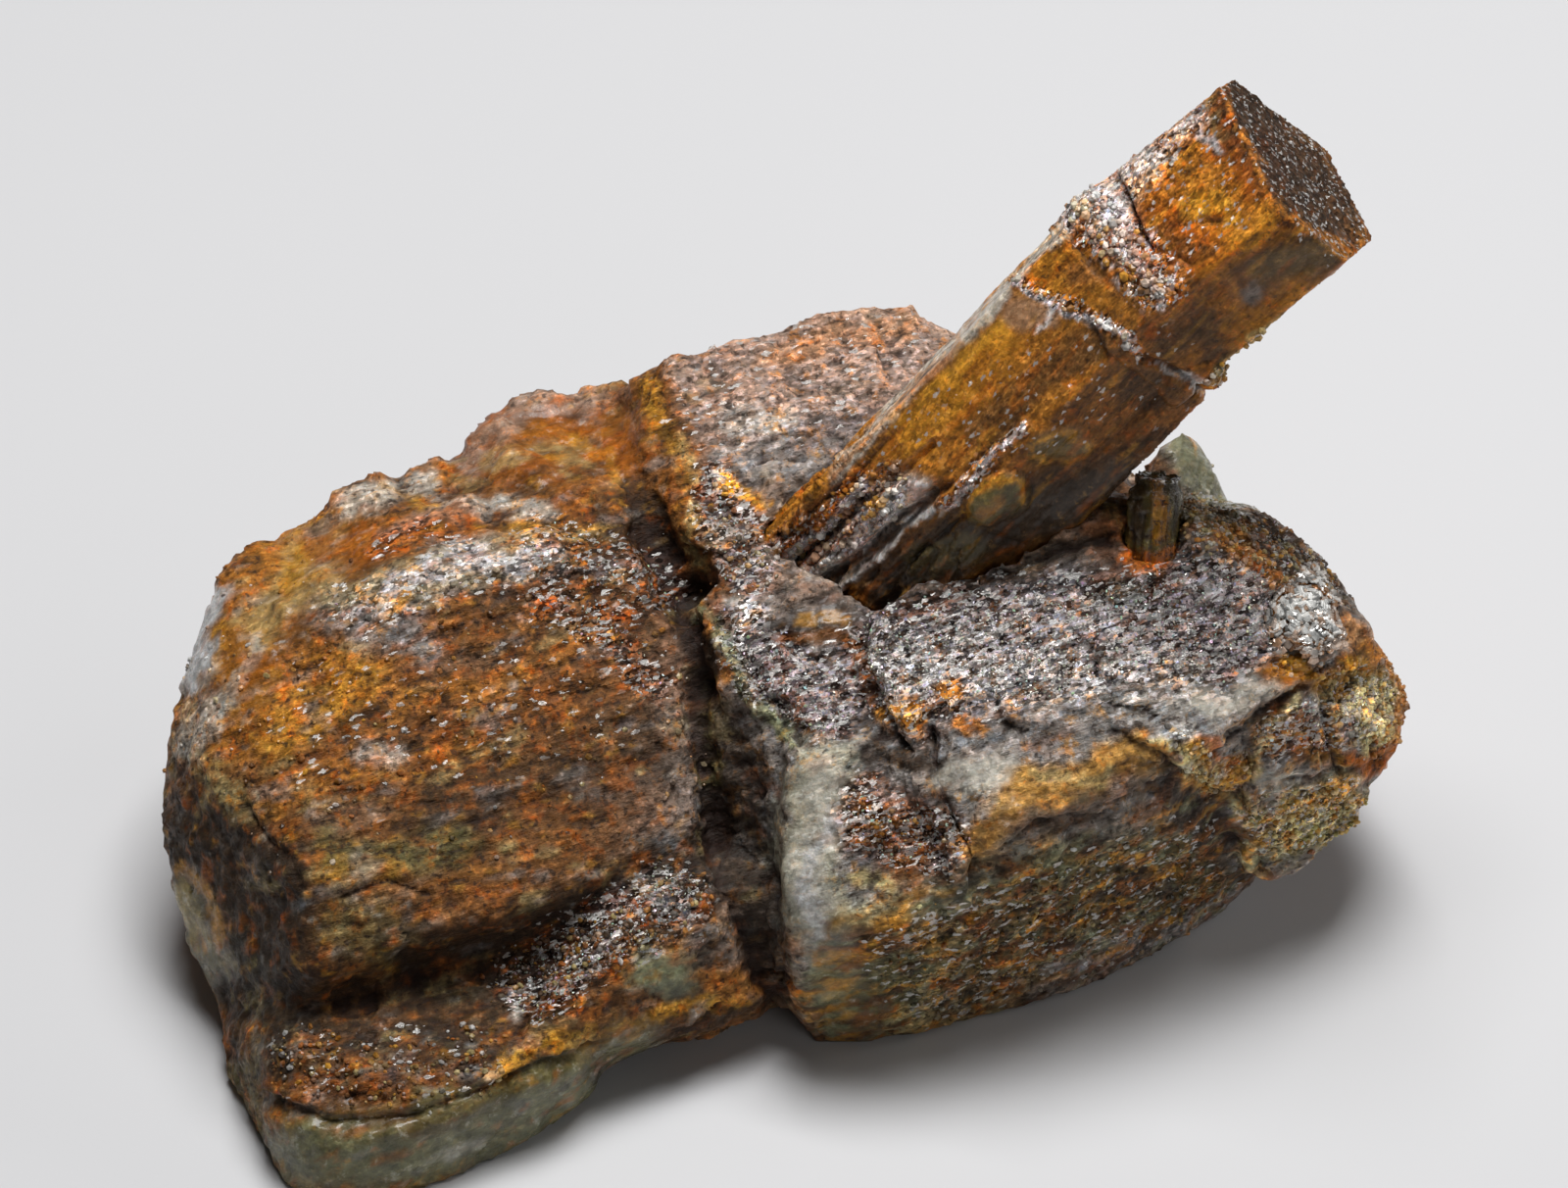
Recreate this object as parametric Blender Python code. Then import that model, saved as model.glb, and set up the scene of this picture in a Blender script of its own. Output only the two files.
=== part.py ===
"""A rust-stained beryl crystal standing out of the broken piece of quartz that it grew in.

Metres, +Z up, resting on z = 0 with the origin under the middle of the specimen. It was laid out
as it looks from the front when the eye looks down on it at 45 degrees, so most corners are given
as millimetres to the right, up and near: up is up the picture, and near is towards the eye.
"""

import math

import bmesh
import bpy
from mathutils import Matrix, Vector

MM = 0.001
LOOK_DOWN = math.radians(45)  # how steeply the eye looks down on the specimen
MIDDLE_OF_VIEW = (-0.2, 3.2, 32.5)  # where the middle of the view lies in the standing specimen
GAP = 0.3  # mm of clearance between a crystal and the pocket that it sits in

# The long crystal is a flattened hexagon. Its lower and upper lengths meet at a healed crack,
# where it is bent and turned a little. Each set of distances is from the axis to the six sides,
# the first side facing down to the right and the third, the broad lit one, facing the eye.
BERYL_ROOT = (5.4, 0.2, -0.6)
BERYL_LEAN = math.radians(27)  # out of the picture, towards the eye
LOWER_SLOPE = math.radians(46.3)  # of the lower length, up the picture
LOWER_SIDES = (9.6, 7.3, 6.1, 8.3, 6.6, 7.0)
LOWER_TURN = math.radians(-9)
LOWER_LENGTH = 40.5
UPPER_SLOPE = math.radians(39)
UPPER_SIDES = (8.4, 7.9, 6.3, 9.6, 6.4, 6.8)
UPPER_TURN = math.radians(-1)
UPPER_LENGTH = 17.7
CRACK_OVERLAP = 3.0  # how far the upper length starts inside the lower one
CRACK_SHIFT = (0.9, -0.5, 0.2)  # right, up and near
BURIED_LENGTH = 13.0  # of the root, below where the axis leaves the quartz
# The near side of the root is splintered off along a slope.
SPLINTER_POINT = (11.0, 9.4, 11.2)
SPLINTER_SLOPE = math.radians(14)  # between the splintered surface and the axis

# The short crystal wedged between the long one and the quartz.
SIDE_BERYL_FOOT = (31.2, -0.6, 9.0)
SIDE_BERYL_TOP = (32.1, 10.4, 11.2)
SIDE_BERYL_RADIUS = 2.15
SIDE_BERYL_TURN = 0.2

# The book of mica plates: a thin disc lying in the surface of the quartz.
ROSETTE_MIDDLE = (44.6, -1.9, 8.4)
ROSETTE_FACES = (0.12, 0.1, 1.0)  # right, up and near parts of the way it faces
ROSETTE_RADIUS = 3.3
ROSETTE_THICKNESS = 2.6
ROSETTE_SIDES = 10

# The quartz is one broken mass, made by joining these lumps. Each is the convex solid round its
# corners: first those that the eye sees, then hidden ones, which are given as x, y and z from the
# ground under the middle of the view.
LUMPS = {
    "big_left": (
        [
            (-51.2, -14.0, 1.5), (-41.5, -24.0, 12.5), (-41.0, -33.0, 11.0), (-20.0, -27.0, 9.0),
            (-8.0, -20.0, 3.0), (-8.5, -3.0, 1.0), (-48.5, -4.0, -0.5), (-31.0, 2.0, 4.5),
            (-14.0, 4.0, 0.5), (-50.7, -0.6, -7.0), (-48.5, 1.8, -8.0), (-38.7, 9.2, -11.0),
            (-27.2, 12.4, -14.0), (-10.0, 12.0, -12.0), (-54.5, -14.5, -6.0), (-52.0, -8.0, -5.0),
            (-54.2, -22.0, -6.0), (-52.3, -31.0, -6.0), (-42.0, -37.0, 3.0), (-20.0, -32.0, 1.0),
            (-4.0, -27.0, -3.0), (-49.7, -35.0, -6.0),
        ],
        [
            (-30, 25, 20), (-46, 16, 14), (-48, 11, -2), (-10, 30, 24), (-8, 28, -2),
            (-35, 24, -2), (-46, -5, -2), (-6, -4, -2),
        ],
    ),
    "left_dome": (
        [
            (-27.6, 12.6, -14.0), (-26.2, 14.3, -15.5), (-23.3, 16.8, -16.5), (-17.0, 17.5, -17.0),
            (-10.8, 18.7, -17.0), (-27.0, 8.0, -5.0), (-18.0, 7.5, -2.0), (-13.0, 6.0, -1.5),
        ],
        [(-20, 28, 20), (-10, 28, 20), (-20, 26, 2), (-10, 26, 2)],
    ),
    "ledge": (
        [
            (-44.5, -43.0, 8.5), (-40.0, -46.5, 11.5), (-35.0, -47.3, 12.0), (-31.0, -45.5, 12.0),
            (-26.0, -43.0, 11.0), (-43.5, -38.0, 9.0), (-41.5, -34.0, 4.0), (-30.0, -33.5, 4.0),
            (-43.0, -52.0, 5.0), (-38.0, -53.5, 6.5), (-30.6, -51.8, 5.0), (-26.8, -49.6, 3.5),
            (-21.8, -47.6, 2.0), (-16.0, -43.6, -1.5), (-45.5, -46.5, 0.5), (-48.0, -43.0, -2.5),
            (-49.7, -35.5, -5.0), (-18.0, -40.2, 7.5), (-18.0, -32.0, 3.0),
        ],
        [(-46, 0, -2), (-16, -10, -2), (-20, 0, 10)],
    ),
    "ledge_end": (
        [
            (-26.0, -42.5, 10.5), (-17.5, -39.4, 6.5), (-8.5, -36.8, 1.5), (1.0, -35.0, -3.0),
            (-20.0, -33.0, 5.5), (-13.5, -26.5, 7.0), (-8.0, -23.5, 5.5), (-2.0, -26.0, 3.5),
            (-14.0, -40.5, -4.0), (-8.5, -37.3, -8.0), (1.0, -35.6, -9.0), (-24.0, -44.0, 3.0),
        ],
        [(-20, 0, -2), (2, -8, -2), (0, 0, 12)],
    ),
    "middle_step": (
        [
            (-8.0, -1.0, 3.8), (-3.4, -7.0, 5.4), (0.0, -13.2, 7.0), (7.0, -14.0, 8.5),
            (8.5, -3.5, 4.8), (7.0, 0.5, 3.4), (-4.5, 1.5, 3.0), (-9.0, -3.0, -3.0),
            (-5.5, -20.0, -0.5), (-1.0, -32.0, -2.5), (5.0, -30.0, 5.0),
        ],
        [(-8, 12, 10), (8, 12, 10), (-6, -8, -2), (10, -4, -2), (2, 12, -2)],
    ),
    "right_tier": (
        [
            (0.4, -12.8, 9.0), (-0.6, -25.0, 9.5), (0.5, -31.5, 6.0), (0.3, -36.0, -4.0),
            (2.6, -39.3, -7.0), (6.0, -39.6, -6.7), (11.0, -38.9, -7.5), (9.5, -12.0, 9.5),
            (16.0, -24.0, 11.0), (12.0, -28.0, 10.5), (5.5, -28.5, 10.2), (4.0, -14.0, 10.2),
            (20.0, -36.7, -9.5),
        ],
        [(0, 0, 5), (20, 5, 5), (4, -10, -2), (20, -8, -2)],
    ),
    "right_main": (
        [
            (6.0, -4.2, 8.0), (9.2, -12.0, 11.2), (11.8, -15.5, 12.4), (15.7, -23.4, 13.6),
            (21.0, -19.3, 13.6), (32.3, -12.2, 13.0), (39.5, -13.0, 9.8), (46.5, -9.5, 7.5),
            (48.7, -4.2, 6.5), (46.5, 0.2, 8.0), (43.0, 1.8, 9.0), (38.0, 5.0, 10.8),
            (33.0, 7.0, 12.0), (27.5, 8.0, 10.5), (20.0, 6.0, 8.5), (16.5, 2.5, 7.6),
            (7.5, -1.6, 5.6), (42.0, 6.8, 0.0),
            (46.6, 4.0, -2.0), (50.3, -1.6, -3.5), (15.0, -28.0, 9.0), (20.0, -36.7, -9.5),
            (32.7, -31.8, -14.0), (38.0, -28.6, -17.0), (41.8, -25.6, -18.0), (12.0, -38.6, -8.0),
            (27.0, -34.7, -12.0),
        ],
        [(10, 14, 12), (34, 24, 22), (44, 20, 16), (46, 12, 6), (36, 16, -2), (12, 10, -2)],
    ),
    "right_end": (
        [
            (39.0, -12.6, 9.0), (47.0, -8.6, 6.0), (50.2, -5.6, 2.0), (52.4, -5.4, -1.5),
            (54.9, -9.8, -7.0), (53.2, -15.0, -7.0), (50.3, -17.5, -6.5), (48.6, -21.0, -8.0),
            (46.0, -23.6, -9.0), (42.5, -25.4, -11.5), (39.8, -18.8, 2.5), (41.5, -24.0, -4.5),
            (50.6, -3.0, -6.0), (34.0, -14.5, 6.0), (49.0, -12.5, 2.0),
        ],
        [(48, 16, 14), (40, 10, -2), (50, 6, 8), (36, 4, -2)],
    ),
    "end_knob": (
        [
            (48.3, -1.2, 5.0), (50.9, -2.1, 3.0), (51.5, -6.0, 1.0), (49.0, -6.8, 5.0),
            (47.6, -4.0, 5.5), (50.0, -3.0, -4.0),
        ],
        [(46, 10, 22)],
    ),
    "upper_block": (
        [
            (-10.8, 20.6, -9.5), (-9.9, 14.0, -6.0), (-7.0, 4.0, 1.2), (-4.0, 1.0, 2.8),
            (6.0, 1.0, 3.4), (0.0, 22.2, -13.0), (6.8, 25.4, -15.0), (11.0, 25.5, -15.5),
            (14.5, 23.4, -15.0), (26.0, 14.0, -8.0), (32.0, 7.0, -2.0), (-11.3, 18.4, -17.0),
            (-9.5, 3.0, -4.0), (-15.0, 16.8, -15.3), (-13.2, 10.0, -5.6),
        ],
        [
            (-8, 34, 20), (14, 36, 22), (32, 28, 18), (-6, 30, -2), (14, 32, -2), (30, 22, -2),
            (-6, 4, -2), (22, 6, -2),
        ],
    ),
    "rear_chip": (
        [
            (35.0, 14.9, -4.5), (35.7, 13.2, -5.5), (36.9, 12.4, -7.5), (38.2, 9.2, -5.5),
            (34.0, 8.8, -1.0), (33.2, 13.6, -3.0), (31.0, 8.0, -2.0),
        ],
        [(34, 22, 20), (38, 16, 18), (30, 18, 20)],
    ),
}
GROUND_BOX = 200.0  # mm, a block below the ground that cuts the quartz off flat

QUARTZ_LOOK = ((0.55, 0.42, 0.30), 0.45)
BERYL_LOOK = ((0.62, 0.34, 0.10), 0.35)
SIDE_BERYL_LOOK = ((0.45, 0.38, 0.16), 0.30)
MICA_LOOK = ((0.72, 0.70, 0.68), 0.25)


def seen(right, up, near):
    """A point given as it is seen, as a point of the standing specimen, in millimetres."""
    turned = Vector(
        (
            right,
            up * math.sin(LOOK_DOWN) - near * math.cos(LOOK_DOWN),
            up * math.cos(LOOK_DOWN) + near * math.sin(LOOK_DOWN),
        )
    )
    return turned + Vector(MIDDLE_OF_VIEW)


def way(right, up, near):
    """A direction given as it is seen, as a unit vector of the standing specimen."""
    return (seen(right, up, near) - seen(0, 0, 0)).normalized()


def material(name, look):
    colour, roughness = look
    made = bpy.data.materials.new(name)
    made.use_nodes = True
    shader = made.node_tree.nodes["Principled BSDF"]
    shader.inputs["Base Color"].default_value = (*colour, 1.0)
    shader.inputs["Roughness"].default_value = roughness
    return made


def new_object(name, form, look=None):
    """The bmesh, which is in millimetres, as an object in metres with its own material."""
    bmesh.ops.recalc_face_normals(form, faces=form.faces)
    bmesh.ops.scale(form, vec=(MM, MM, MM), verts=form.verts)
    mesh = bpy.data.meshes.new(name)
    form.to_mesh(mesh)
    form.free()
    made = bpy.data.objects.new(name, mesh)
    bpy.context.scene.collection.objects.link(made)
    if look:
        mesh.materials.append(material(name, look))
    return made


def helper(made):
    """A shape that only cuts or joins another: it is no piece of the specimen."""
    made.hide_render = True
    made.display_type = "WIRE"
    return made


def boolean(target, tool, operation):
    step = target.modifiers.new(tool.name, "BOOLEAN")
    step.operation = operation
    step.solver = "EXACT"
    step.object = helper(tool)


def hull(points):
    """The convex solid round some points."""
    form = bmesh.new()
    for point in points:
        form.verts.new(point)
    made = bmesh.ops.convex_hull(form, input=form.verts)
    inside = [v for v in made["geom_interior"] if isinstance(v, bmesh.types.BMVert)]
    bmesh.ops.delete(form, geom=inside, context="VERTS")
    return form


def section(middle, along, turn, sides):
    """The six corners of a crystal's cross section, given how far each side is from the axis."""
    across = along.cross(way(0, 0, 1)).normalized()
    near = across.cross(along)
    step = math.radians(60)
    corners = []
    for number, distance in enumerate(sides):
        following = sides[(number + 1) % 6]
        angle = turn + number * step
        further = (following - distance * math.cos(step)) / math.sin(step)
        out = across * math.cos(angle) + near * math.sin(angle)
        beside = near * math.cos(angle) - across * math.sin(angle)
        corners.append(middle + out * distance + beside * further)
    return corners


def length_of_crystal(start, along, length, turn, sides):
    """A straight six-sided length, both ends square to its axis."""
    low = section(start, along, turn, sides)
    return hull(low + [corner + along * length for corner in low])


def slope_way(slope):
    flat = math.cos(BERYL_LEAN)
    return way(math.cos(slope) * flat, math.sin(slope) * flat, math.sin(BERYL_LEAN))


def beryl(name, extra):
    """The long crystal, or its pocket when extra is the clearance round it."""
    lower_way = slope_way(LOWER_SLOPE)
    upper_way = slope_way(UPPER_SLOPE)
    root = seen(*BERYL_ROOT)
    foot = root - lower_way * (BURIED_LENGTH + extra)
    length = LOWER_LENGTH + BURIED_LENGTH + extra
    sides = [side + extra for side in LOWER_SIDES]
    form = length_of_crystal(foot, lower_way, length, LOWER_TURN, sides)
    near = way(0, 0, 1)
    near = (near - lower_way * near.dot(lower_way)).normalized()
    broken_way = near * math.cos(SPLINTER_SLOPE) - lower_way * math.sin(SPLINTER_SLOPE)
    broken = bmesh.ops.bisect_plane(
        form,
        geom=form.verts[:] + form.edges[:] + form.faces[:],
        plane_co=seen(*SPLINTER_POINT) + broken_way * extra,
        plane_no=broken_way,
        clear_outer=True,
    )
    rim = [edge for edge in broken["geom_cut"] if isinstance(edge, bmesh.types.BMEdge)]
    bmesh.ops.edgeloop_fill(form, edges=rim)
    made = new_object(name, form)
    shift = seen(*CRACK_SHIFT) - seen(0, 0, 0)
    start = root + lower_way * LOWER_LENGTH - upper_way * CRACK_OVERLAP + shift
    sides = [side + extra for side in UPPER_SIDES]
    length = UPPER_LENGTH + CRACK_OVERLAP + extra
    upper = length_of_crystal(start, upper_way, length, UPPER_TURN, sides)
    boolean(made, new_object(name + "_upper", upper), "UNION")
    return made


def side_beryl(name, extra, look=None):
    """The short crystal, or its pocket when extra is the clearance round it."""
    foot = seen(*SIDE_BERYL_FOOT)
    top = seen(*SIDE_BERYL_TOP)
    along = (top - foot).normalized()
    start = foot - along * extra
    length = (top - foot).length + 2 * extra
    sides = [SIDE_BERYL_RADIUS + extra] * 6
    return new_object(name, length_of_crystal(start, along, length, SIDE_BERYL_TURN, sides), look)


def rosette(name, extra, look=None):
    """The book of mica, or its pocket when extra is the clearance round it."""
    facing = way(*ROSETTE_FACES).to_track_quat("Z", "Y").to_matrix().to_4x4()
    form = bmesh.new()
    bmesh.ops.create_cone(
        form,
        segments=ROSETTE_SIDES,
        radius1=ROSETTE_RADIUS + extra,
        radius2=ROSETTE_RADIUS + extra,
        depth=ROSETTE_THICKNESS + 2 * extra,
        cap_ends=True,
        matrix=Matrix.Translation(seen(*ROSETTE_MIDDLE)) @ facing,
    )
    return new_object(name, form, look)


def ground():
    form = bmesh.new()
    middle = Matrix.Translation((0, 0, -GROUND_BOX / 2))
    bmesh.ops.create_cube(form, size=GROUND_BOX, matrix=middle)
    return new_object("ground", form)


def quartz_matrix():
    under_the_view = Vector((MIDDLE_OF_VIEW[0], MIDDLE_OF_VIEW[1], 0))
    lumps = []
    for name, (front, back) in LUMPS.items():
        points = [seen(*corner) for corner in front]
        points += [under_the_view + Vector(corner) for corner in back]
        lumps.append(new_object(name, hull(points)))
    matrix = lumps[0]
    matrix.name = "quartz_matrix"
    matrix.data.materials.append(material("quartz_matrix", QUARTZ_LOOK))
    for more in lumps[1:]:
        boolean(matrix, more, "UNION")
    boolean(matrix, ground(), "DIFFERENCE")
    boolean(matrix, beryl("beryl_pocket", GAP), "DIFFERENCE")
    boolean(matrix, side_beryl("side_beryl_pocket", GAP), "DIFFERENCE")
    boolean(matrix, rosette("rosette_pocket", GAP), "DIFFERENCE")


for old in list(bpy.data.objects):
    bpy.data.objects.remove(old)
quartz_matrix()
crystal = beryl("beryl_crystal", 0)
crystal.data.materials.append(material("beryl_crystal", BERYL_LOOK))
side_beryl("side_beryl", 0, SIDE_BERYL_LOOK)
rosette("mica_rosette", 0, MICA_LOOK)
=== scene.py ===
import math
import random

import bmesh
import bpy
import numpy as np
from mathutils import Matrix, Vector, noise
from mathutils.bvhtree import BVHTree


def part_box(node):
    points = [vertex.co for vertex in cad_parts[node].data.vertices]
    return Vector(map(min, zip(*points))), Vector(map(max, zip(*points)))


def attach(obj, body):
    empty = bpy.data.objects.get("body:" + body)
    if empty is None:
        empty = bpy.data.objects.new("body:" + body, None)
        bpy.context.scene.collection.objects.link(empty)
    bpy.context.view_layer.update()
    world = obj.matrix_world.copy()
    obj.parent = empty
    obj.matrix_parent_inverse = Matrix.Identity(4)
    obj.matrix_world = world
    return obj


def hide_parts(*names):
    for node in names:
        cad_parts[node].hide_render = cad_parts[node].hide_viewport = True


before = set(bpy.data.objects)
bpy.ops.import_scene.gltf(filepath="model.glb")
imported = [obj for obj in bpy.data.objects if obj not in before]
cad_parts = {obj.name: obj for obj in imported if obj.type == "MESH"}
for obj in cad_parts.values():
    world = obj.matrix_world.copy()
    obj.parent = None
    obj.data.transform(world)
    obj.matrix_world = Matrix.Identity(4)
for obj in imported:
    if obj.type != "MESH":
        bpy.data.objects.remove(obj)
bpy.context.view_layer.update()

# The eye. It looks down at the specimen at 45 degrees from a metre away, as the
# photograph does. Marks on the stone are placed by their pixel in that picture,
# and lie only on what the eye can see.
PICTURE = (1600, 1212)
PICTURE_WIDTH = 0.136
EYE_DISTANCE = 1.0
LOOK_DOWN = math.radians(45)
MIDDLE_OF_VIEW = Vector((-0.0002, 0.0032, 0.0325))
SENSOR_WIDTH = 36.0
NEAREST_SEEN = 0.05
MM = 0.001

RIGHTWARDS = Vector((1, 0, 0))
UPWARDS = Vector((0, math.sin(LOOK_DOWN), math.cos(LOOK_DOWN)))
NEARWARDS = Vector((0, -math.cos(LOOK_DOWN), math.sin(LOOK_DOWN)))

camera = bpy.data.objects.new("eye", bpy.data.cameras.new("eye"))
camera.data.sensor_width = SENSOR_WIDTH
camera.data.lens = SENSOR_WIDTH * EYE_DISTANCE / PICTURE_WIDTH
camera.data.clip_start = NEAREST_SEEN
camera.location = MIDDLE_OF_VIEW + NEARWARDS * EYE_DISTANCE
camera.rotation_euler = (math.pi / 2 - LOOK_DOWN, 0, 0)
bpy.context.scene.collection.objects.link(camera)
bpy.context.scene.camera = camera


def in_picture(places):
    """Pixels right and down in the picture, for an array of places in metres."""
    away = places - np.array(MIDDLE_OF_VIEW)
    nearer = EYE_DISTANCE / (EYE_DISTANCE - away @ np.array(NEARWARDS))
    pixels = nearer * PICTURE[0] / PICTURE_WIDTH
    right = PICTURE[0] / 2 + away @ np.array(RIGHTWARDS) * pixels
    down = PICTURE[1] / 2 - away @ np.array(UPWARDS) * pixels
    return np.stack((right, down), 1)


# The quartz matrix. One broken lump of smoky and greenish quartz, bedded with mica
# and stained by iron: water-smoothed and streaky on the left, freshly broken and
# sparkling on the right. It grew as one piece and carries everything else.
MATRIX_GRID = 0.82 * MM
STREAK_RISE = math.radians(17)
LIFT_OFF_SKIN = 0.05 * MM
WELDED_WITHIN = 0.001 * MM
SMOOTHING_TURNS = 14
SMOOTHED_ALL_OVER = 3

MINERALS = {
    "orange": (0.42, 0.165, 0.020),
    "rust": (0.190, 0.076, 0.018),
    "brown": (0.100, 0.051, 0.019),
    # Umber colours the dark brown stains, and also the painted shade marks.
    "umber_and_shade": (0.034, 0.022, 0.013),
    "gold": (0.56, 0.27, 0.025),
    "ember": (0.37, 0.105, 0.010),
    "straw": (0.44, 0.345, 0.14),
    "frost": (0.50, 0.475, 0.40),
    "grey": (0.25, 0.235, 0.215),
    "pink": (0.34, 0.24, 0.18),
    "plum": (0.110, 0.074, 0.066),
    "olive": (0.125, 0.106, 0.038),
    "green": (0.215, 0.228, 0.125),
    "silver": (0.62, 0.62, 0.60),
    "cream": (0.62, 0.54, 0.27),
    "lemon": (0.42, 0.385, 0.12),
}
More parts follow.
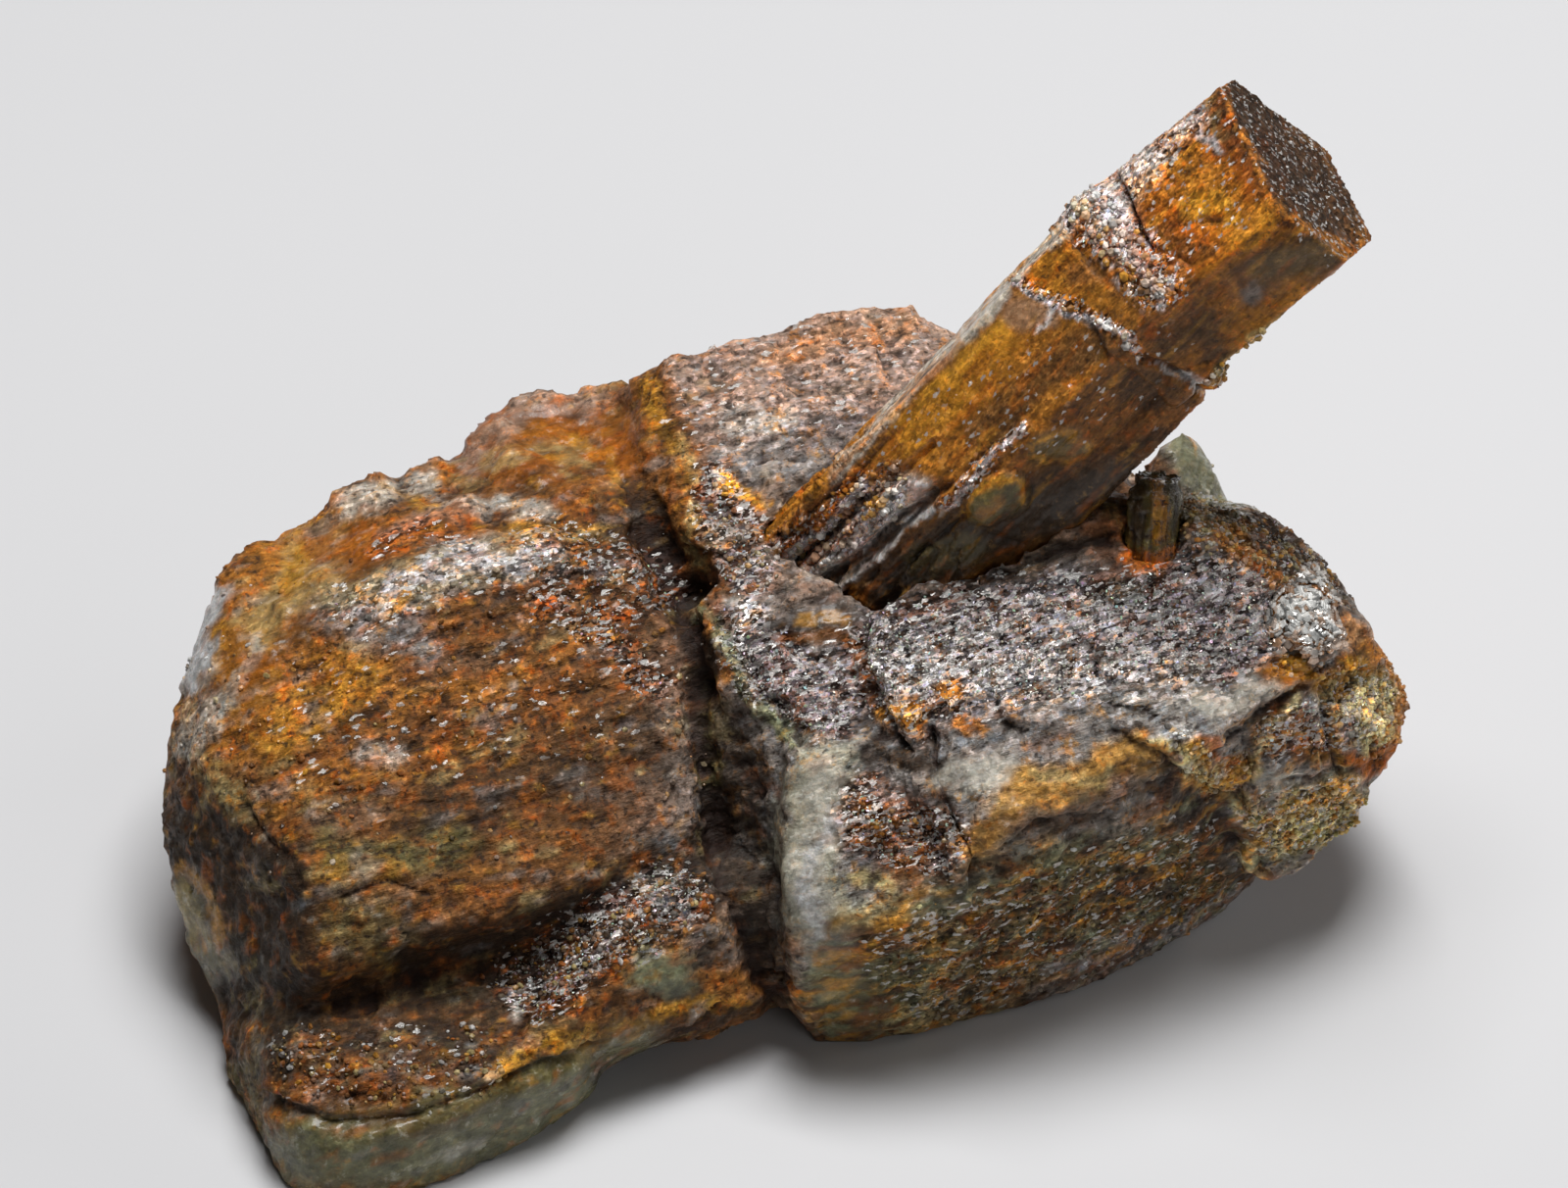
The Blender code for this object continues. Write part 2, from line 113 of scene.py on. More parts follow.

# Each mark is a mineral's colour, how strongly it covers, how far it reaches in pixels,
# and the line through its middle, in pixels of the picture. Most are stains; a few are
# painted shade where the stone lies in shadow, and one is a painted highlight.
MATRIX_STAINS_AND_SHADE = (
    ("left mass", "rust", 0.85, 330, (260, 760), (600, 700)),
    ("right mass", "grey", 0.9, 330, (900, 800), (1300, 760)),
    ("left shoulder", "orange", 0.6, 75, (215, 700), (260, 600), (350, 520)),
    ("shoulder ochre", "straw", 0.55, 34, (262, 640), (300, 600), (330, 560)),
    ("yellow shoulder spot", "gold", 0.8, 22, (300, 590), (315, 575)),
    ("yellow fleck", "gold", 0.9, 12, (400, 622), (410, 614)),
    ("dome", "ember", 1.0, 62, (490, 450), (560, 450), (640, 450)),
    ("dome orange", "orange", 0.6, 18, (500, 440), (580, 445), (650, 425)),
    ("dome shade", "rust", 0.3, 62, (490, 450), (560, 450), (640, 450)),
    ("dome gold", "gold", 0.5, 12, (590, 440), (620, 480), (640, 500)),
    ("dome red", "rust", 0.6, 16, (540, 480), (600, 490)),
    ("dome pale", "straw", 0.5, 12, (500, 470), (560, 455), (590, 480)),
    ("dome rim", "pink", 0.7, 22, (478, 470), (530, 415), (600, 400), (660, 392)),
    ("under the dome", "rust", 0.6, 45, (380, 520), (470, 510), (590, 520)),
    ("gold under the dome", "gold", 0.75, 26, (530, 550), (590, 545)),
    # The pale band is pale quartz in its own colours, with a painted highlight in white along its lit
    # crest.
    ("pale band", "grey", 0.9, 36, (345, 625), (430, 600), (470, 575), (555, 570)),
    ("pale band straw", "straw", 0.5, 30, (345, 610), (430, 590), (555, 560)),
    ("pale band white", "silver", 0.8, 16, (400, 600), (470, 572), (560, 562)),
    ("pale band gold", "gold", 0.8, 9, (360, 650), (390, 630), (412, 612)),
    ("pale band end", "frost", 0.7, 22, (350, 510), (430, 490)),
    ("pale band upper", "frost", 0.6, 16, (400, 545), (450, 520), (500, 515), (560, 520)),
    ("pale band upper gold", "gold", 0.6, 9, (400, 500), (440, 520)),
    ("band window", "grey", 0.7, 18, (360, 655), (420, 640), (450, 650)),
    ("band red rim", "ember", 0.8, 9, (490, 615), (510, 598), (550, 592), (590, 600)),
    ("grey windows", "grey", 0.8, 22, (360, 640), (400, 640), (440, 660)),
    ("dark behind the dome", "umber_and_shade", 0.75, 50, (600, 560), (660, 520), (690, 600)),
    ("brown under the band", "brown", 0.8, 26, (490, 610), (580, 600), (660, 640)),
    ("shoulder red", "ember", 0.7, 26, (330, 560), (400, 545), (470, 530)),
    ("orange mottle", "orange", 0.75, 60, (230, 740), (310, 710), (360, 690)),
    ("gold mottle", "gold", 0.55, 36, (285, 760), (340, 720), (360, 690)),
    ("middle rust", "rust", 0.7, 60, (380, 760), (500, 740), (620, 700)),
    ("middle brown", "brown", 0.8, 44, (450, 800), (560, 780), (660, 740)),
    ("orange streaks", "orange", 0.55, 20, (260, 830), (350, 790), (480, 770)),
    ("orange streaks above", "orange", 0.5, 18, (400, 720), (520, 690), (600, 650)),
    ("low middle", "umber_and_shade", 0.5, 40, (420, 850), (560, 815), (680, 770)),
    ("olive hollow", "olive", 0.85, 34, (330, 870), (400, 880), (470, 860)),
    ("gold hollow", "gold", 0.45, 20, (330, 880), (400, 890)),
    ("pale fleck", "straw", 0.8, 11, (516, 860), (522, 862)),
    ("pale flecks", "frost", 0.6, 16, (375, 775), (400, 770)),
    ("left corner pale", "frost", 0.7, 20, (180, 770), (200, 735), (215, 720)),
    ("left corner rim", "straw", 0.7, 16, (200, 770), (230, 800), (255, 830)),
    ("white lump", "silver", 1.0, 20, (204, 690), (205, 650), (215, 610)),
    ("inner rim", "frost", 0.6, 10, (216, 745), (240, 700), (262, 660)),
    ("outer rim", "gold", 0.5, 7, (190, 735), (212, 700), (232, 640)),
    ("end face", "umber_and_shade", 1.0, 75, (200, 850), (270, 900), (270, 1000)),
    ("end face brown", "brown", 0.3, 30, (185, 830), (230, 870), (290, 960)),
    ("end face olive", "olive", 0.12, 40, (240, 960), (270, 1040), (290, 1100)),
    ("end face stain", "umber_and_shade", 0.8, 15, (235, 1000), (245, 1060), (232, 1100)),
    ("end bump", "olive", 1.0, 26, (185, 900), (190, 950), (215, 985)),
    ("end bump white", "straw", 0.7, 14, (180, 900), (184, 930), (205, 965)),
    ("end bump rim", "gold", 0.8, 11, (180, 880), (205, 905), (225, 960)),
    ("foot left", "olive", 0.8, 26, (240, 1100), (262, 1150), (290, 1190)),
    ("grey granular", "olive", 0.6, 44, (350, 940), (400, 960)),
    # Painted shade: dark umber in the groove under the overhanging left mass.
    ("saddle", "umber_and_shade", 0.85, 40, (430, 975), (520, 950), (640, 900), (720, 860)),
    ("saddle brown", "umber_and_shade", 0.8, 34, (320, 1010), (400, 1010), (480, 1000)),
    ("ledge rust", "umber_and_shade", 0.95, 58, (300, 1070), (380, 1090), (470, 1080)),
    ("ledge rust red", "rust", 0.5, 30, (320, 1080), (380, 1100), (450, 1090)),
    ("ledge orange", "ember", 0.45, 20, (310, 1110), (380, 1135), (450, 1110)),
    ("ledge plum", "umber_and_shade", 0.7, 46, (520, 1010), (590, 960), (680, 920), (740, 900)),
    ("ledge plum spots", "plum", 0.8, 13, (400, 1095), (415, 1090)),
    ("ledge silver", "frost", 0.9, 12, (516, 1040), (528, 1014)),
    ("ledge far silver", "grey", 0.8, 16, (650, 905), (690, 930)),
    ("ledge gold", "gold", 0.9, 18, (505, 1090), (550, 1060), (590, 1060)),
    ("ledge rim", "gold", 0.7, 14, (600, 1050), (680, 1035), (760, 1020)),
    ("ledge window", "green", 0.95, 30, (665, 985), (690, 1000)),
    ("beside the window", "orange", 0.7, 22, (725, 1000), (770, 1000)),
    ("ledge front", "olive", 0.9, 64, (310, 1180), (420, 1180), (540, 1150), (640, 1080)),
    ("ledge front green", "green", 0.6, 40, (310, 1180), (420, 1180), (540, 1150), (640, 1080)),
    ("ledge front olive", "olive", 0.9, 22, (430, 1130), (540, 1105), (620, 1075)),
    ("ledge front pale", "frost", 0.6, 13, (455, 1172), (485, 1168)),
    # Painted shade: the ledge's underside faces down, away from the light.
    ("ledge underside", "umber_and_shade", 0.7, 22, (620, 1100), (700, 1050), (790, 1035)),
    ("block face", "pink", 1.0, 110, (730, 400), (820, 400), (920, 360)),
    ("block face orange", "orange", 0.45, 20, (790, 365), (860, 340), (930, 335)),
    ("block face pale", "frost", 0.6, 24, (745, 430), (800, 430)),
    ("block face grey", "grey", 0.8, 40, (720, 480), (800, 470), (880, 440)),
    ("block face plum", "plum", 0.55, 20, (820, 450), (900, 420)),
    ("block foot", "grey", 0.8, 30, (730, 540), (760, 580), (800, 570)),
    ("block foot brown", "brown", 0.8, 16, (735, 595), (760, 560), (790, 520)),
    ("block yellow streak", "gold", 1.0, 8, (730, 485), (752, 496), (772, 507)),
    ("block wall", "rust", 1.0, 45, (650, 385), (680, 450), (705, 560)),
    ("block wall gold", "gold", 0.6, 16, (655, 400), (680, 450), (700, 500)),
    ("block wall edge", "straw", 0.6, 9, (690, 450), (712, 520), (715, 580)),
    # Painted shade: the crevice beside the block, darkened where shadow falls into it.
    ("crevice", "umber_and_shade", 1.0, 22, (668, 520), (690, 570), (710, 640), (716, 700)),
    ("wedge top", "grey", 1.0, 50, (770, 640), (830, 700), (850, 740)),
    ("wedge top plum", "plum", 0.8, 34, (790, 680), (840, 730)),
    ("wedge top shade", "umber_and_shade", 0.5, 20, (780, 720), (820, 750)),
    ("wedge rim", "green", 0.95, 12, (715, 625), (735, 660), (770, 700), (806, 752)),
    ("wedge flake", "frost", 1.0, 13, (750, 612), (760, 628)),
    ("wedge flake rim", "gold", 0.8, 5, (744, 634), (757, 641), (766, 632)),
    ("wedge rust", "orange", 0.8, 11, (735, 682), (740, 695)),
    # The wedge's wall faces left, away from the light: its two umber marks are painted shade, its olive
    # streak is its own colour.
    ("wedge wall", "umber_and_shade", 0.8, 44, (745, 760), (760, 860), (780, 960)),
    ("wedge wall olive", "olive", 0.8, 12, (722, 700), (728, 800)),
    ("wedge wall dark", "umber_and_shade", 0.8, 22, (765, 900), (785, 1000), (800, 1050)),
    ("top face", "grey", 1.0, 90, (900, 690), (1060, 640), (1240, 620)),
    ("top face pale right", "frost", 0.5, 40, (1080, 680), (1160, 700), (1240, 700)),
    ("top face pale", "frost", 0.55, 40, (905, 680), (960, 660), (1010, 690), (1080, 690)),
    ("top face right", "plum", 0.45, 40, (1180, 600), (1240, 660), (1280, 680)),
    # Painted shadow: the prism's shadow cast on the top face.
    ("top face shade", "umber_and_shade", 0.55, 20, (930, 640), (1010, 600), (1160, 570)),
    ("cliff", "rust", 0.95, 12, (872, 660), (880, 705), (900, 750)),
    ("notch", "gold", 0.9, 18, (900, 735), (940, 725), (972, 705)),
    ("notch edge", "orange", 0.9, 9, (935, 722), (975, 700), (980, 740), (1010, 745)),
    ("notch hole", "umber_and_shade", 0.9, 10, (925, 765), (945, 745)),
    ("tier quartz", "green", 1.0, 46, (835, 790), (825, 880), (850, 960), (860, 1020)),
    ("tier quartz white", "frost", 0.9, 40, (835, 790), (825, 880), (845, 960)),
    ("tier quartz flecks", "silver", 0.7, 12, (840, 830), (822, 900), (836, 960)),
    ("tier quartz rust", "orange", 0.7, 7, (880, 925), (850, 950), (838, 985)),
    ("tier mica", "rust", 1.0, 46, (880, 830), (940, 850), (930, 880)),
    ("tier mica rust", "orange", 0.6, 13, (875, 845), (895, 840)),
    # Painted shadow: the dark band across the top of the tier.
    ("tier shade", "umber_and_shade", 0.9, 18, (880, 775), (950, 775), (965, 850)),
    ("tier chip", "straw", 0.9, 12, (885, 895), (905, 905)),
    ("cleft face", "frost", 0.85, 24, (960, 790), (1000, 800), (1030, 790)),
    ("bevel", "gold", 0.8, 28, (990, 860), (1060, 805), (1170, 770)),
    ("bevel rust", "brown", 0.7, 18, (1000, 850), (1080, 830), (1160, 790)),
    ("bevel bright", "straw", 0.7, 10, (1067, 795), (1136, 790)),
    ("front", "olive", 1.0, 90, (900, 1000), (1040, 930), (1200, 900)),
    ("front ochre", "straw", 0.35, 26, (960, 990), (1050, 965), (1140, 940)),
    ("front rust", "rust", 0.85, 30, (880, 960), (960, 950), (1010, 930)),
    ("front straw", "straw", 0.5, 22, (860, 940), (920, 920), (960, 960)),
    ("front gold", "gold", 0.7, 14, (835, 985), (850, 1010), (930, 925)),
    ("front foot", "straw", 0.5, 18, (890, 1050), (990, 1035), (1060, 1000)),
    ("front dark", "umber_and_shade", 0.45, 60, (1000, 1000), (1100, 950), (1250, 880)),
    ("front foot brown", "brown", 0.85, 13, (872, 1045), (895, 1045)),
    ("front green", "green", 0.7, 20, (930, 925), (990, 915)),
    ("front pit", "gold", 0.6, 14, (1150, 875), (1190, 890)),
    ("front pit dark", "umber_and_shade", 0.85, 20, (1130, 915), (1170, 890)),
    ("front strip", "grey", 0.85, 20, (1080, 985), (1180, 960), (1280, 910)),
    # Painted shade: the triangle facet faces down and to the left, away from the light.
    ("triangle", "umber_and_shade", 0.9, 36, (1200, 810), (1230, 850)),
    ("triangle brown", "rust", 0.5, 10, (1190, 780), (1240, 815)),
    ("strip lilac", "plum", 0.4, 20, (1250, 690), (1300, 660)),
    ("glassy strip", "frost", 0.9, 26, (1230, 715), (1290, 695), (1315, 680)),
    ("pale spot", "silver", 1.0, 20, (1190, 750), (1212, 752)),
    ("pale spot straw", "straw", 0.8, 8, (1205, 765), (1225, 760)),
    ("granular fillet", "gold", 0.9, 24, (1215, 768), (1240, 800), (1265, 780)),
    ("granular fillet cream", "cream", 0.9, 10, (1205, 775), (1232, 790), (1256, 825)),
    ("granular fillet ember", "ember", 0.9, 8, (1225, 752), (1250, 770), (1262, 768)),
    ("square facet", "brown", 1.0, 40, (1300, 745), (1335, 755)),
    ("square facet brown", "rust", 0.8, 26, (1310, 730), (1340, 765)),
    ("square facet ochre", "gold", 0.35, 10, (1305, 765), (1330, 745), (1345, 770)),
    ("amber pocket", "orange", 1.0, 20, (1300, 690), (1350, 690), (1400, 672)),
    ("amber pocket gold", "gold", 0.9, 10, (1315, 682), (1350, 690)),
    ("pocket shade", "rust", 0.9, 14, (1365, 675), (1392, 672)),
    ("end block", "orange", 0.7, 18, (1380, 640), (1395, 655)),
    ("right grains lemon", "lemon", 0.9, 36, (1370, 710), (1400, 715), (1405, 740)),
    ("right grains", "cream", 0.8, 26, (1370, 720), (1400, 715), (1405, 740)),
    ("right rim", "orange", 0.9, 14, (1415, 680), (1440, 720), (1425, 750)),
    ("right orange facet", "ember", 1.0, 22, (1376, 778), (1400, 778), (1420, 766)),
    ("yellow green facet", "lemon", 1.0, 44, (1310, 840), (1370, 830)),
    ("yellow green gold", "gold", 0.5, 12, (1300, 830), (1340, 815), (1385, 805)),
    ("yellow green cream", "cream", 0.6, 16, (1300, 850), (1340, 835), (1375, 825)),
    ("yellow green shade", "olive", 0.5, 18, (1290, 870), (1340, 868)),
    ("bluish pale", "frost", 0.5, 16, (1280, 795), (1310, 800)),
    ("square rim", "cream", 0.9, 9, (1274, 782), (1296, 748), (1324, 712)),
    ("square right rim", "gold", 0.8, 8, (1363, 694), (1358, 740), (1367, 790)),
    ("triangle rim", "cream", 0.9, 7, (1176, 762), (1222, 788), (1266, 820)),
    ("triangle foot rim", "cream", 0.8, 10, (1266, 826), (1276, 860), (1284, 886)),
    ("end block rim", "gold", 0.8, 9, (1366, 692), (1382, 676), (1400, 690)),
    ("blue window", "frost", 0.9, 16, (1288, 800), (1300, 812)),
    ("rear slope", "umber_and_shade", 0.95, 44, (1230, 520), (1300, 555), (1360, 600)),
    ("rear slope olive", "olive", 0.7, 20, (1210, 510), (1260, 545)),
    ("crest", "orange", 0.6, 14, (1250, 550), (1310, 598)),
    ("chip", "grey", 1.0, 40, (1205, 455), (1235, 485), (1255, 500)),
    ("chip shade", "olive", 0.55, 40, (1205, 455), (1235, 485), (1255, 500)),
    ("chip green", "green", 0.6, 30, (1205, 455), (1255, 500)),
    ("chip sliver", "gold", 0.9, 8, (1213, 430), (1224, 450)),
    # Painted shade: the matrix in the shadow under the prism's lower edge, beside the side crystal.
    ("beside the stub", "umber_and_shade", 0.9, 26, (1140, 515), (1150, 550)),
    ("beside the stub, smoky", "olive", 0.6, 12, (1136, 520), (1152, 545)),
    ("foot of the stub", "umber_and_shade", 0.7, 30, (1140, 585), (1175, 592), (1212, 570)),
    ("foot of the stub, amber", "ember", 1.0, 13, (1150, 566), (1175, 576), (1198, 566)),
    ("foot of the stub, gold", "gold", 0.6, 5, (1162, 568), (1185, 572)),
    # Painted shadow: the strip of matrix just under the prism, where it casts its shadow.
    ("under the prism", "umber_and_shade", 0.8, 18, (905, 625), (990, 590), (1130, 545)),
    ("root side", "umber_and_shade", 0.8, 30, (800, 640), (850, 630), (880, 650)),
    ("root side amber", "rust", 0.8, 12, (806, 650), (840, 640), (872, 660)),
    ("root side gold", "gold", 0.5, 5, (806, 628), (838, 622), (860, 632)),
)

# Where mica glitters, where the quartz is glassy, where rust spots the olive front,
# where the stone crumbles, and where it is worn round: strength, reach and line.
MATRIX_GLITTER = (
    ("top face", 1.0, 90, (920, 680), (1060, 650), (1260, 630)),
    ("wedge top", 1.0, 50, (760, 650), (840, 720)),
    ("tier mica", 1.0, 48, (880, 830), (950, 860)),
    ("block foot", 0.8, 40, (730, 500), (770, 580)),
    ("block face", 0.2, 90, (730, 400), (900, 370)),
    ("ledge", 0.9, 50, (540, 1000), (680, 920)),
    ("ledge rust", 0.1, 50, (310, 1080), (480, 1090)),
    ("dark behind the dome", 0.6, 50, (560, 560), (660, 600)),
    ("pale band", 0.4, 34, (350, 620), (550, 570)),
    ("rust streaks", 0.12, 120, (350, 740), (600, 680)),
    ("glints by the crevice", 0.7, 26, (560, 610), (620, 640), (660, 700)),
    ("glints of the shoulder", 0.5, 16, (390, 560), (430, 540), (480, 560)),
    ("right grains", 0.95, 36, (1310, 750), (1400, 720)),
    ("yellow green facet", 0.8, 40, (1300, 840), (1370, 830)),
    ("rear slope", 0.4, 40, (1230, 520), (1350, 590)),
    ("front", 0.3, 90, (950, 980), (1200, 900)),
)
MATRIX_GLASS = (
    ("dome", 0.7, 60, (490, 450), (620, 450)),
    ("white lump", 1.0, 24, (204, 690), (215, 610)),
    ("end bump", 1.0, 30, (185, 900), (215, 985)),
    ("end face", 0.15, 50, (260, 960), (280, 1090)),
    ("ledge front", 1.0, 60, (310, 1180), (540, 1150), (640, 1080)),
    ("ledge window", 1.0, 30, (665, 985), (690, 1000)),
    ("tier quartz", 1.0, 40, (825, 800), (825, 900), (850, 980), (870, 1040)),
    ("cleft face", 0.9, 24, (960, 790), (1030, 790)),
    ("bevel", 0.4, 24, (1000, 850), (1160, 775)),
    ("glassy strip", 1.0, 24, (1230, 715), (1315, 680)),
    ("chip", 1.0, 34, (1205, 455), (1255, 500)),
    ("wedge flake", 1.0, 13, (750, 612), (760, 628)),
    ("front strip", 0.6, 20, (1080, 985), (1280, 910)),
    ("front green", 0.6, 26, (930, 925), (990, 915)),
    ("amber pocket", 1.0, 18, (1320, 690), (1350, 685)),
    ("root side", 0.8, 26, (800, 640), (850, 630), (880, 650)),
    ("shoulder", 0.6, 50, (240, 690), (290, 620), (360, 560)),
    ("blue window", 0.9, 16, (1284, 796), (1302, 812)),
)
MATRIX_FRONT = (
    ("front", 0.9, 110, (880, 1010), (1040, 940), (1230, 880)),
    ("end", 0.3, 60, (1200, 820), (1300, 770), (1380, 790)),
)
MATRIX_CRUMBLY = (
    ("yellow green facet", 0.9, 44, (1300, 845), (1370, 830)),
    ("right grains", 0.9, 34, (1375, 700), (1405, 730)),
    ("granular fillet", 0.8, 22, (1210, 765), (1240, 800), (1265, 780)),
    ("rear slope", 0.4, 40, (1215, 530), (1290, 560), (1350, 600)),
    ("ledge", 0.1, 50, (310, 1080), (400, 1100), (480, 1080)),
    ("square facet", 0.35, 36, (1300, 745), (1335, 755)),
)
MATRIX_WORN = (
    ("left mass", 0.8, 230, (330, 660), (500, 660), (330, 800), (560, 780)),
    ("saddle", 1.0, 90, (360, 940), (520, 940), (650, 890)),
    ("ledge front", 0.8, 60, (310, 1190), (540, 1150), (640, 1090)),
    ("end face", 0.8, 80, (230, 860), (280, 1080)),
    ("tier quartz", 0.6, 40, (825, 860), (850, 1000)),
)

# Patches of other minerals: what each is, how strongly it covers and how rare it is.
RIGHT_GROUND = (("grey", 0.75, 0.9), ("umber_and_shade", 0.6, 1.3))
LEFT_GROUND = (("olive", 0.5, 1.0), ("umber_and_shade", 0.6, 1.4))
WHOLE_GROUND = (("orange", 0.75, 0.7), ("frost", 0.55, 0.8))
SMALL_PATCHES = (("ember", 0.6, 1.0), ("umber_and_shade", 0.65, 1.0), ("straw", 0.4, 1.1), ("grey", 0.5, 1.0))
LEFT_PATCHES = (("ember", 0.6, 1.0), ("gold", 0.5, 1.3), ("frost", 0.35, 1.5), ("umber_and_shade", 0.6, 1.3))
MICA_PATCHES = (("plum", 0.6, 0.8), ("rust", 0.5, 1.2), ("silver", 0.35, 1.0), ("umber_and_shade", 0.5, 1.4))
FRONT_PATCHES = (("rust", 0.9, 1.2), ("gold", 0.6, 2.6), ("umber_and_shade", 0.8, 2.2), ("green", 0.7, 2.4))
CRUMBLY_PATCHES = (("umber_and_shade", 0.7, 2.2), ("cream", 0.85, 1.6), ("gold", 0.7, 1.8), ("silver", 0.6, 2.6))
SOFT_EDGE, FIRM_EDGE, SHARP_EDGE = 3.0, 6.0, 8.0

# Each cut is its depth in millimetres, its reach in pixels and its line.
MATRIX_CUTS = (
    ("crevice beside the block", 1.3, 24, (655, 540), (680, 580), (700, 620), (712, 700)),
    ("foot of the wedge", 1.4, 22, (712, 700), (722, 800), (740, 900), (780, 1000), (805, 1060)),
    ("groove under the mass", 0.8, 34, (420, 985), (520, 960), (640, 915), (720, 870)),
    ("cleft", 1.2, 9, (944, 740), (950, 790), (972, 855), (986, 895)),
    ("cleft top", 1.0, 10, (900, 752), (925, 768), (946, 745)),
    ("block crack", 0.4, 5, (715, 452), (780, 448), (830, 442), (900, 432)),
    ("second block crack", 0.35, 5, (730, 470), (800, 470), (850, 462)),
    ("hollow crack", 0.6, 7, (350, 912), (395, 898), (438, 912)),
    ("end crack", 0.5, 6, (245, 815), (275, 858), (300, 880), (308, 905)),
    ("front crack", 0.5, 7, (1000, 880), (1040, 850), (1120, 818)),
    ("front lower crack", 0.4, 7, (985, 985), (1060, 955), (1140, 925)),
    ("streak crack", 0.3, 6, (330, 690), (420, 655), (520, 625)),
    ("second streak crack", 0.3, 6, (380, 800), (480, 770), (600, 735)),
    ("third streak crack", 0.3, 6, (430, 850), (540, 820), (660, 770)),
    ("fillet edge", 0.7, 6, (1262, 822), (1280, 800), (1276, 760)),
    ("lower facet crack", 0.7, 6, (1270, 830), (1300, 812), (1350, 806)),
    ("triangle edge", 0.5, 6, (1180, 768), (1258, 820)),
    ("under the strip", 0.9, 8, (1250, 750), (1290, 722), (1335, 700)),
    ("beside the end lump", 1.1, 7, (1362, 690), (1355, 740), (1366, 790)),
    ("under the end lump", 0.6, 8, (1290, 800), (1366, 790), (1425, 770)),
    ("under the rosette", 0.6, 8, (1300, 676), (1335, 690), (1368, 676)),
    ("under the prism", 1.0, 12, (905, 632), (985, 596), (1079, 560), (1130, 550)),
    ("foot of the root", 0.7, 10, (790, 640), (830, 672), (868, 662)),
)
# Rounded lumps of quartz: each is its middle and its reach each way, in millimetres.
MATRIX_LUMPS = (
    ("foot of the side crystal", (30.8, -2.74, 39.57), (3.6, 2.6, 2.6)),
    ("behind the side crystal", (30.8, 1.5, 40.1), (4.0, 2.4, 2.4)),
    ("left of the side crystal", (28.8, 1.7, 43.0), (1.9, 2.0, 2.2)),
)
# Each swelling is its height in millimetres, its reach in pixels and its line.
MATRIX_SWELLINGS = (
    ("shoulder lump", 0.9, 34, (238, 596), (262, 574)),
    ("ridge lump", 0.9, 26, (352, 508), (384, 500)),
    ("second ridge lump", 0.7, 20, (425, 486), (445, 480)),
    ("dome edge", 1.0, 26, (484, 448), (510, 436)),
    ("dome brow", 0.9, 24, (534, 414), (560, 410)),
    ("dome top", 0.7, 28, (610, 402), (640, 396)),
    ("dome lump", 0.6, 22, (520, 470), (545, 480)),
    ("under the dome", 0.6, 20, (450, 530), (480, 520)),
    ("band lump", 0.5, 26, (500, 570), (560, 560)),
    ("shoulder rib", 0.6, 18, (290, 620), (330, 590)),
)
# Each step drops what lies to the right of its line as it is walked.
MATRIX_STEPS = (
    ("wedge edge", 0.7, 30, (806, 752), (770, 700), (735, 655), (712, 620)),
    ("cleft side", 1.0, 46, (986, 895), (972, 855), (950, 790), (944, 745)),
    ("cliff", 0.8, 34, (902, 752), (880, 705), (870, 655)),
    ("square facet", 1.0, 56, (1250, 756), (1290, 724), (1330, 700), (1368, 690)),
    ("triangle", 0.9, 56, (1172, 762), (1215, 790), (1262, 822)),
    ("bevel foot", 0.7, 36, (985, 892), (1060, 838), (1130, 818), (1182, 800)),
    ("mica tier", 0.6, 60, (884, 905), (848, 860), (850, 800), (878, 762)),
    ("block terrace", 0.6, 26, (715, 500), (760, 520), (800, 500), (850, 462)),
    ("second terrace", 0.6, 24, (722, 560), (760, 560), (790, 530)),
    ("ledge rim", 0.8, 24, (275, 1112), (340, 1140), (430, 1130), (520, 1095), (600, 1065)),
)
STEP_BLUR = 4


def fine_copy(node, name, grid, lumps=()):
    """A closed copy of a CAD node, with rounded lumps added, cut into small squares."""
    shell = bmesh.new()
    shell.from_mesh(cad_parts[node].data)
    bmesh.ops.remove_doubles(shell, verts=shell.verts, dist=WELDED_WITHIN)
    for _, middle, reach in lumps:
        stand = Matrix.Translation(Vector(middle) * MM) @ Matrix.Diagonal((*reach, 1))
        bmesh.ops.create_icosphere(shell, subdivisions=3, radius=MM, matrix=stand)
    mesh = bpy.data.meshes.new(name)
    shell.to_mesh(mesh)
    shell.free()
    piece = bpy.data.objects.new(name, mesh)
    bpy.context.scene.collection.objects.link(piece)
    squares = piece.modifiers.new("squares", "REMESH")
    squares.mode = "VOXEL"
    squares.voxel_size = grid
    seen = bpy.context.evaluated_depsgraph_get()
    piece.data = bpy.data.meshes.new_from_object(piece.evaluated_get(seen))
    piece.data.name = name
    piece.modifiers.clear()
    return piece


def places_of(mesh):
    """The places of a mesh's vertices and which way each faces, as arrays."""
    places = np.empty(len(mesh.vertices) * 3)
    mesh.vertices.foreach_get("co", places)
    outwards = np.empty(len(mesh.vertices) * 3, np.float32)
    mesh.vertex_normals.foreach_get("vector", outwards)
    return places.reshape(-1, 3), outwards.reshape(-1, 3).astype(float)


def set_places(mesh, places):
    """Moves a mesh's vertices to new places."""
    mesh.vertices.foreach_set("co", places.ravel())
    mesh.update()


def links_of(mesh):
    """The two vertices of each edge of a mesh."""
    links = np.empty(len(mesh.edges) * 2, np.int32)
    mesh.edges.foreach_get("vertices", links)
    return links.reshape(-1, 2)


def averaged(values, links):
    """Each vertex's value as the mean of its neighbours' values."""
    first, second = links.T
    count = np.bincount(links.ravel(), minlength=len(values))
    columns = values.reshape(len(values), -1).T
    total = [
        np.bincount(first, column[second], len(values))
        + np.bincount(second, column[first], len(values))
        for column in columns
    ]
    return (np.array(total) / np.maximum(count, 1)).T.reshape(values.shape)


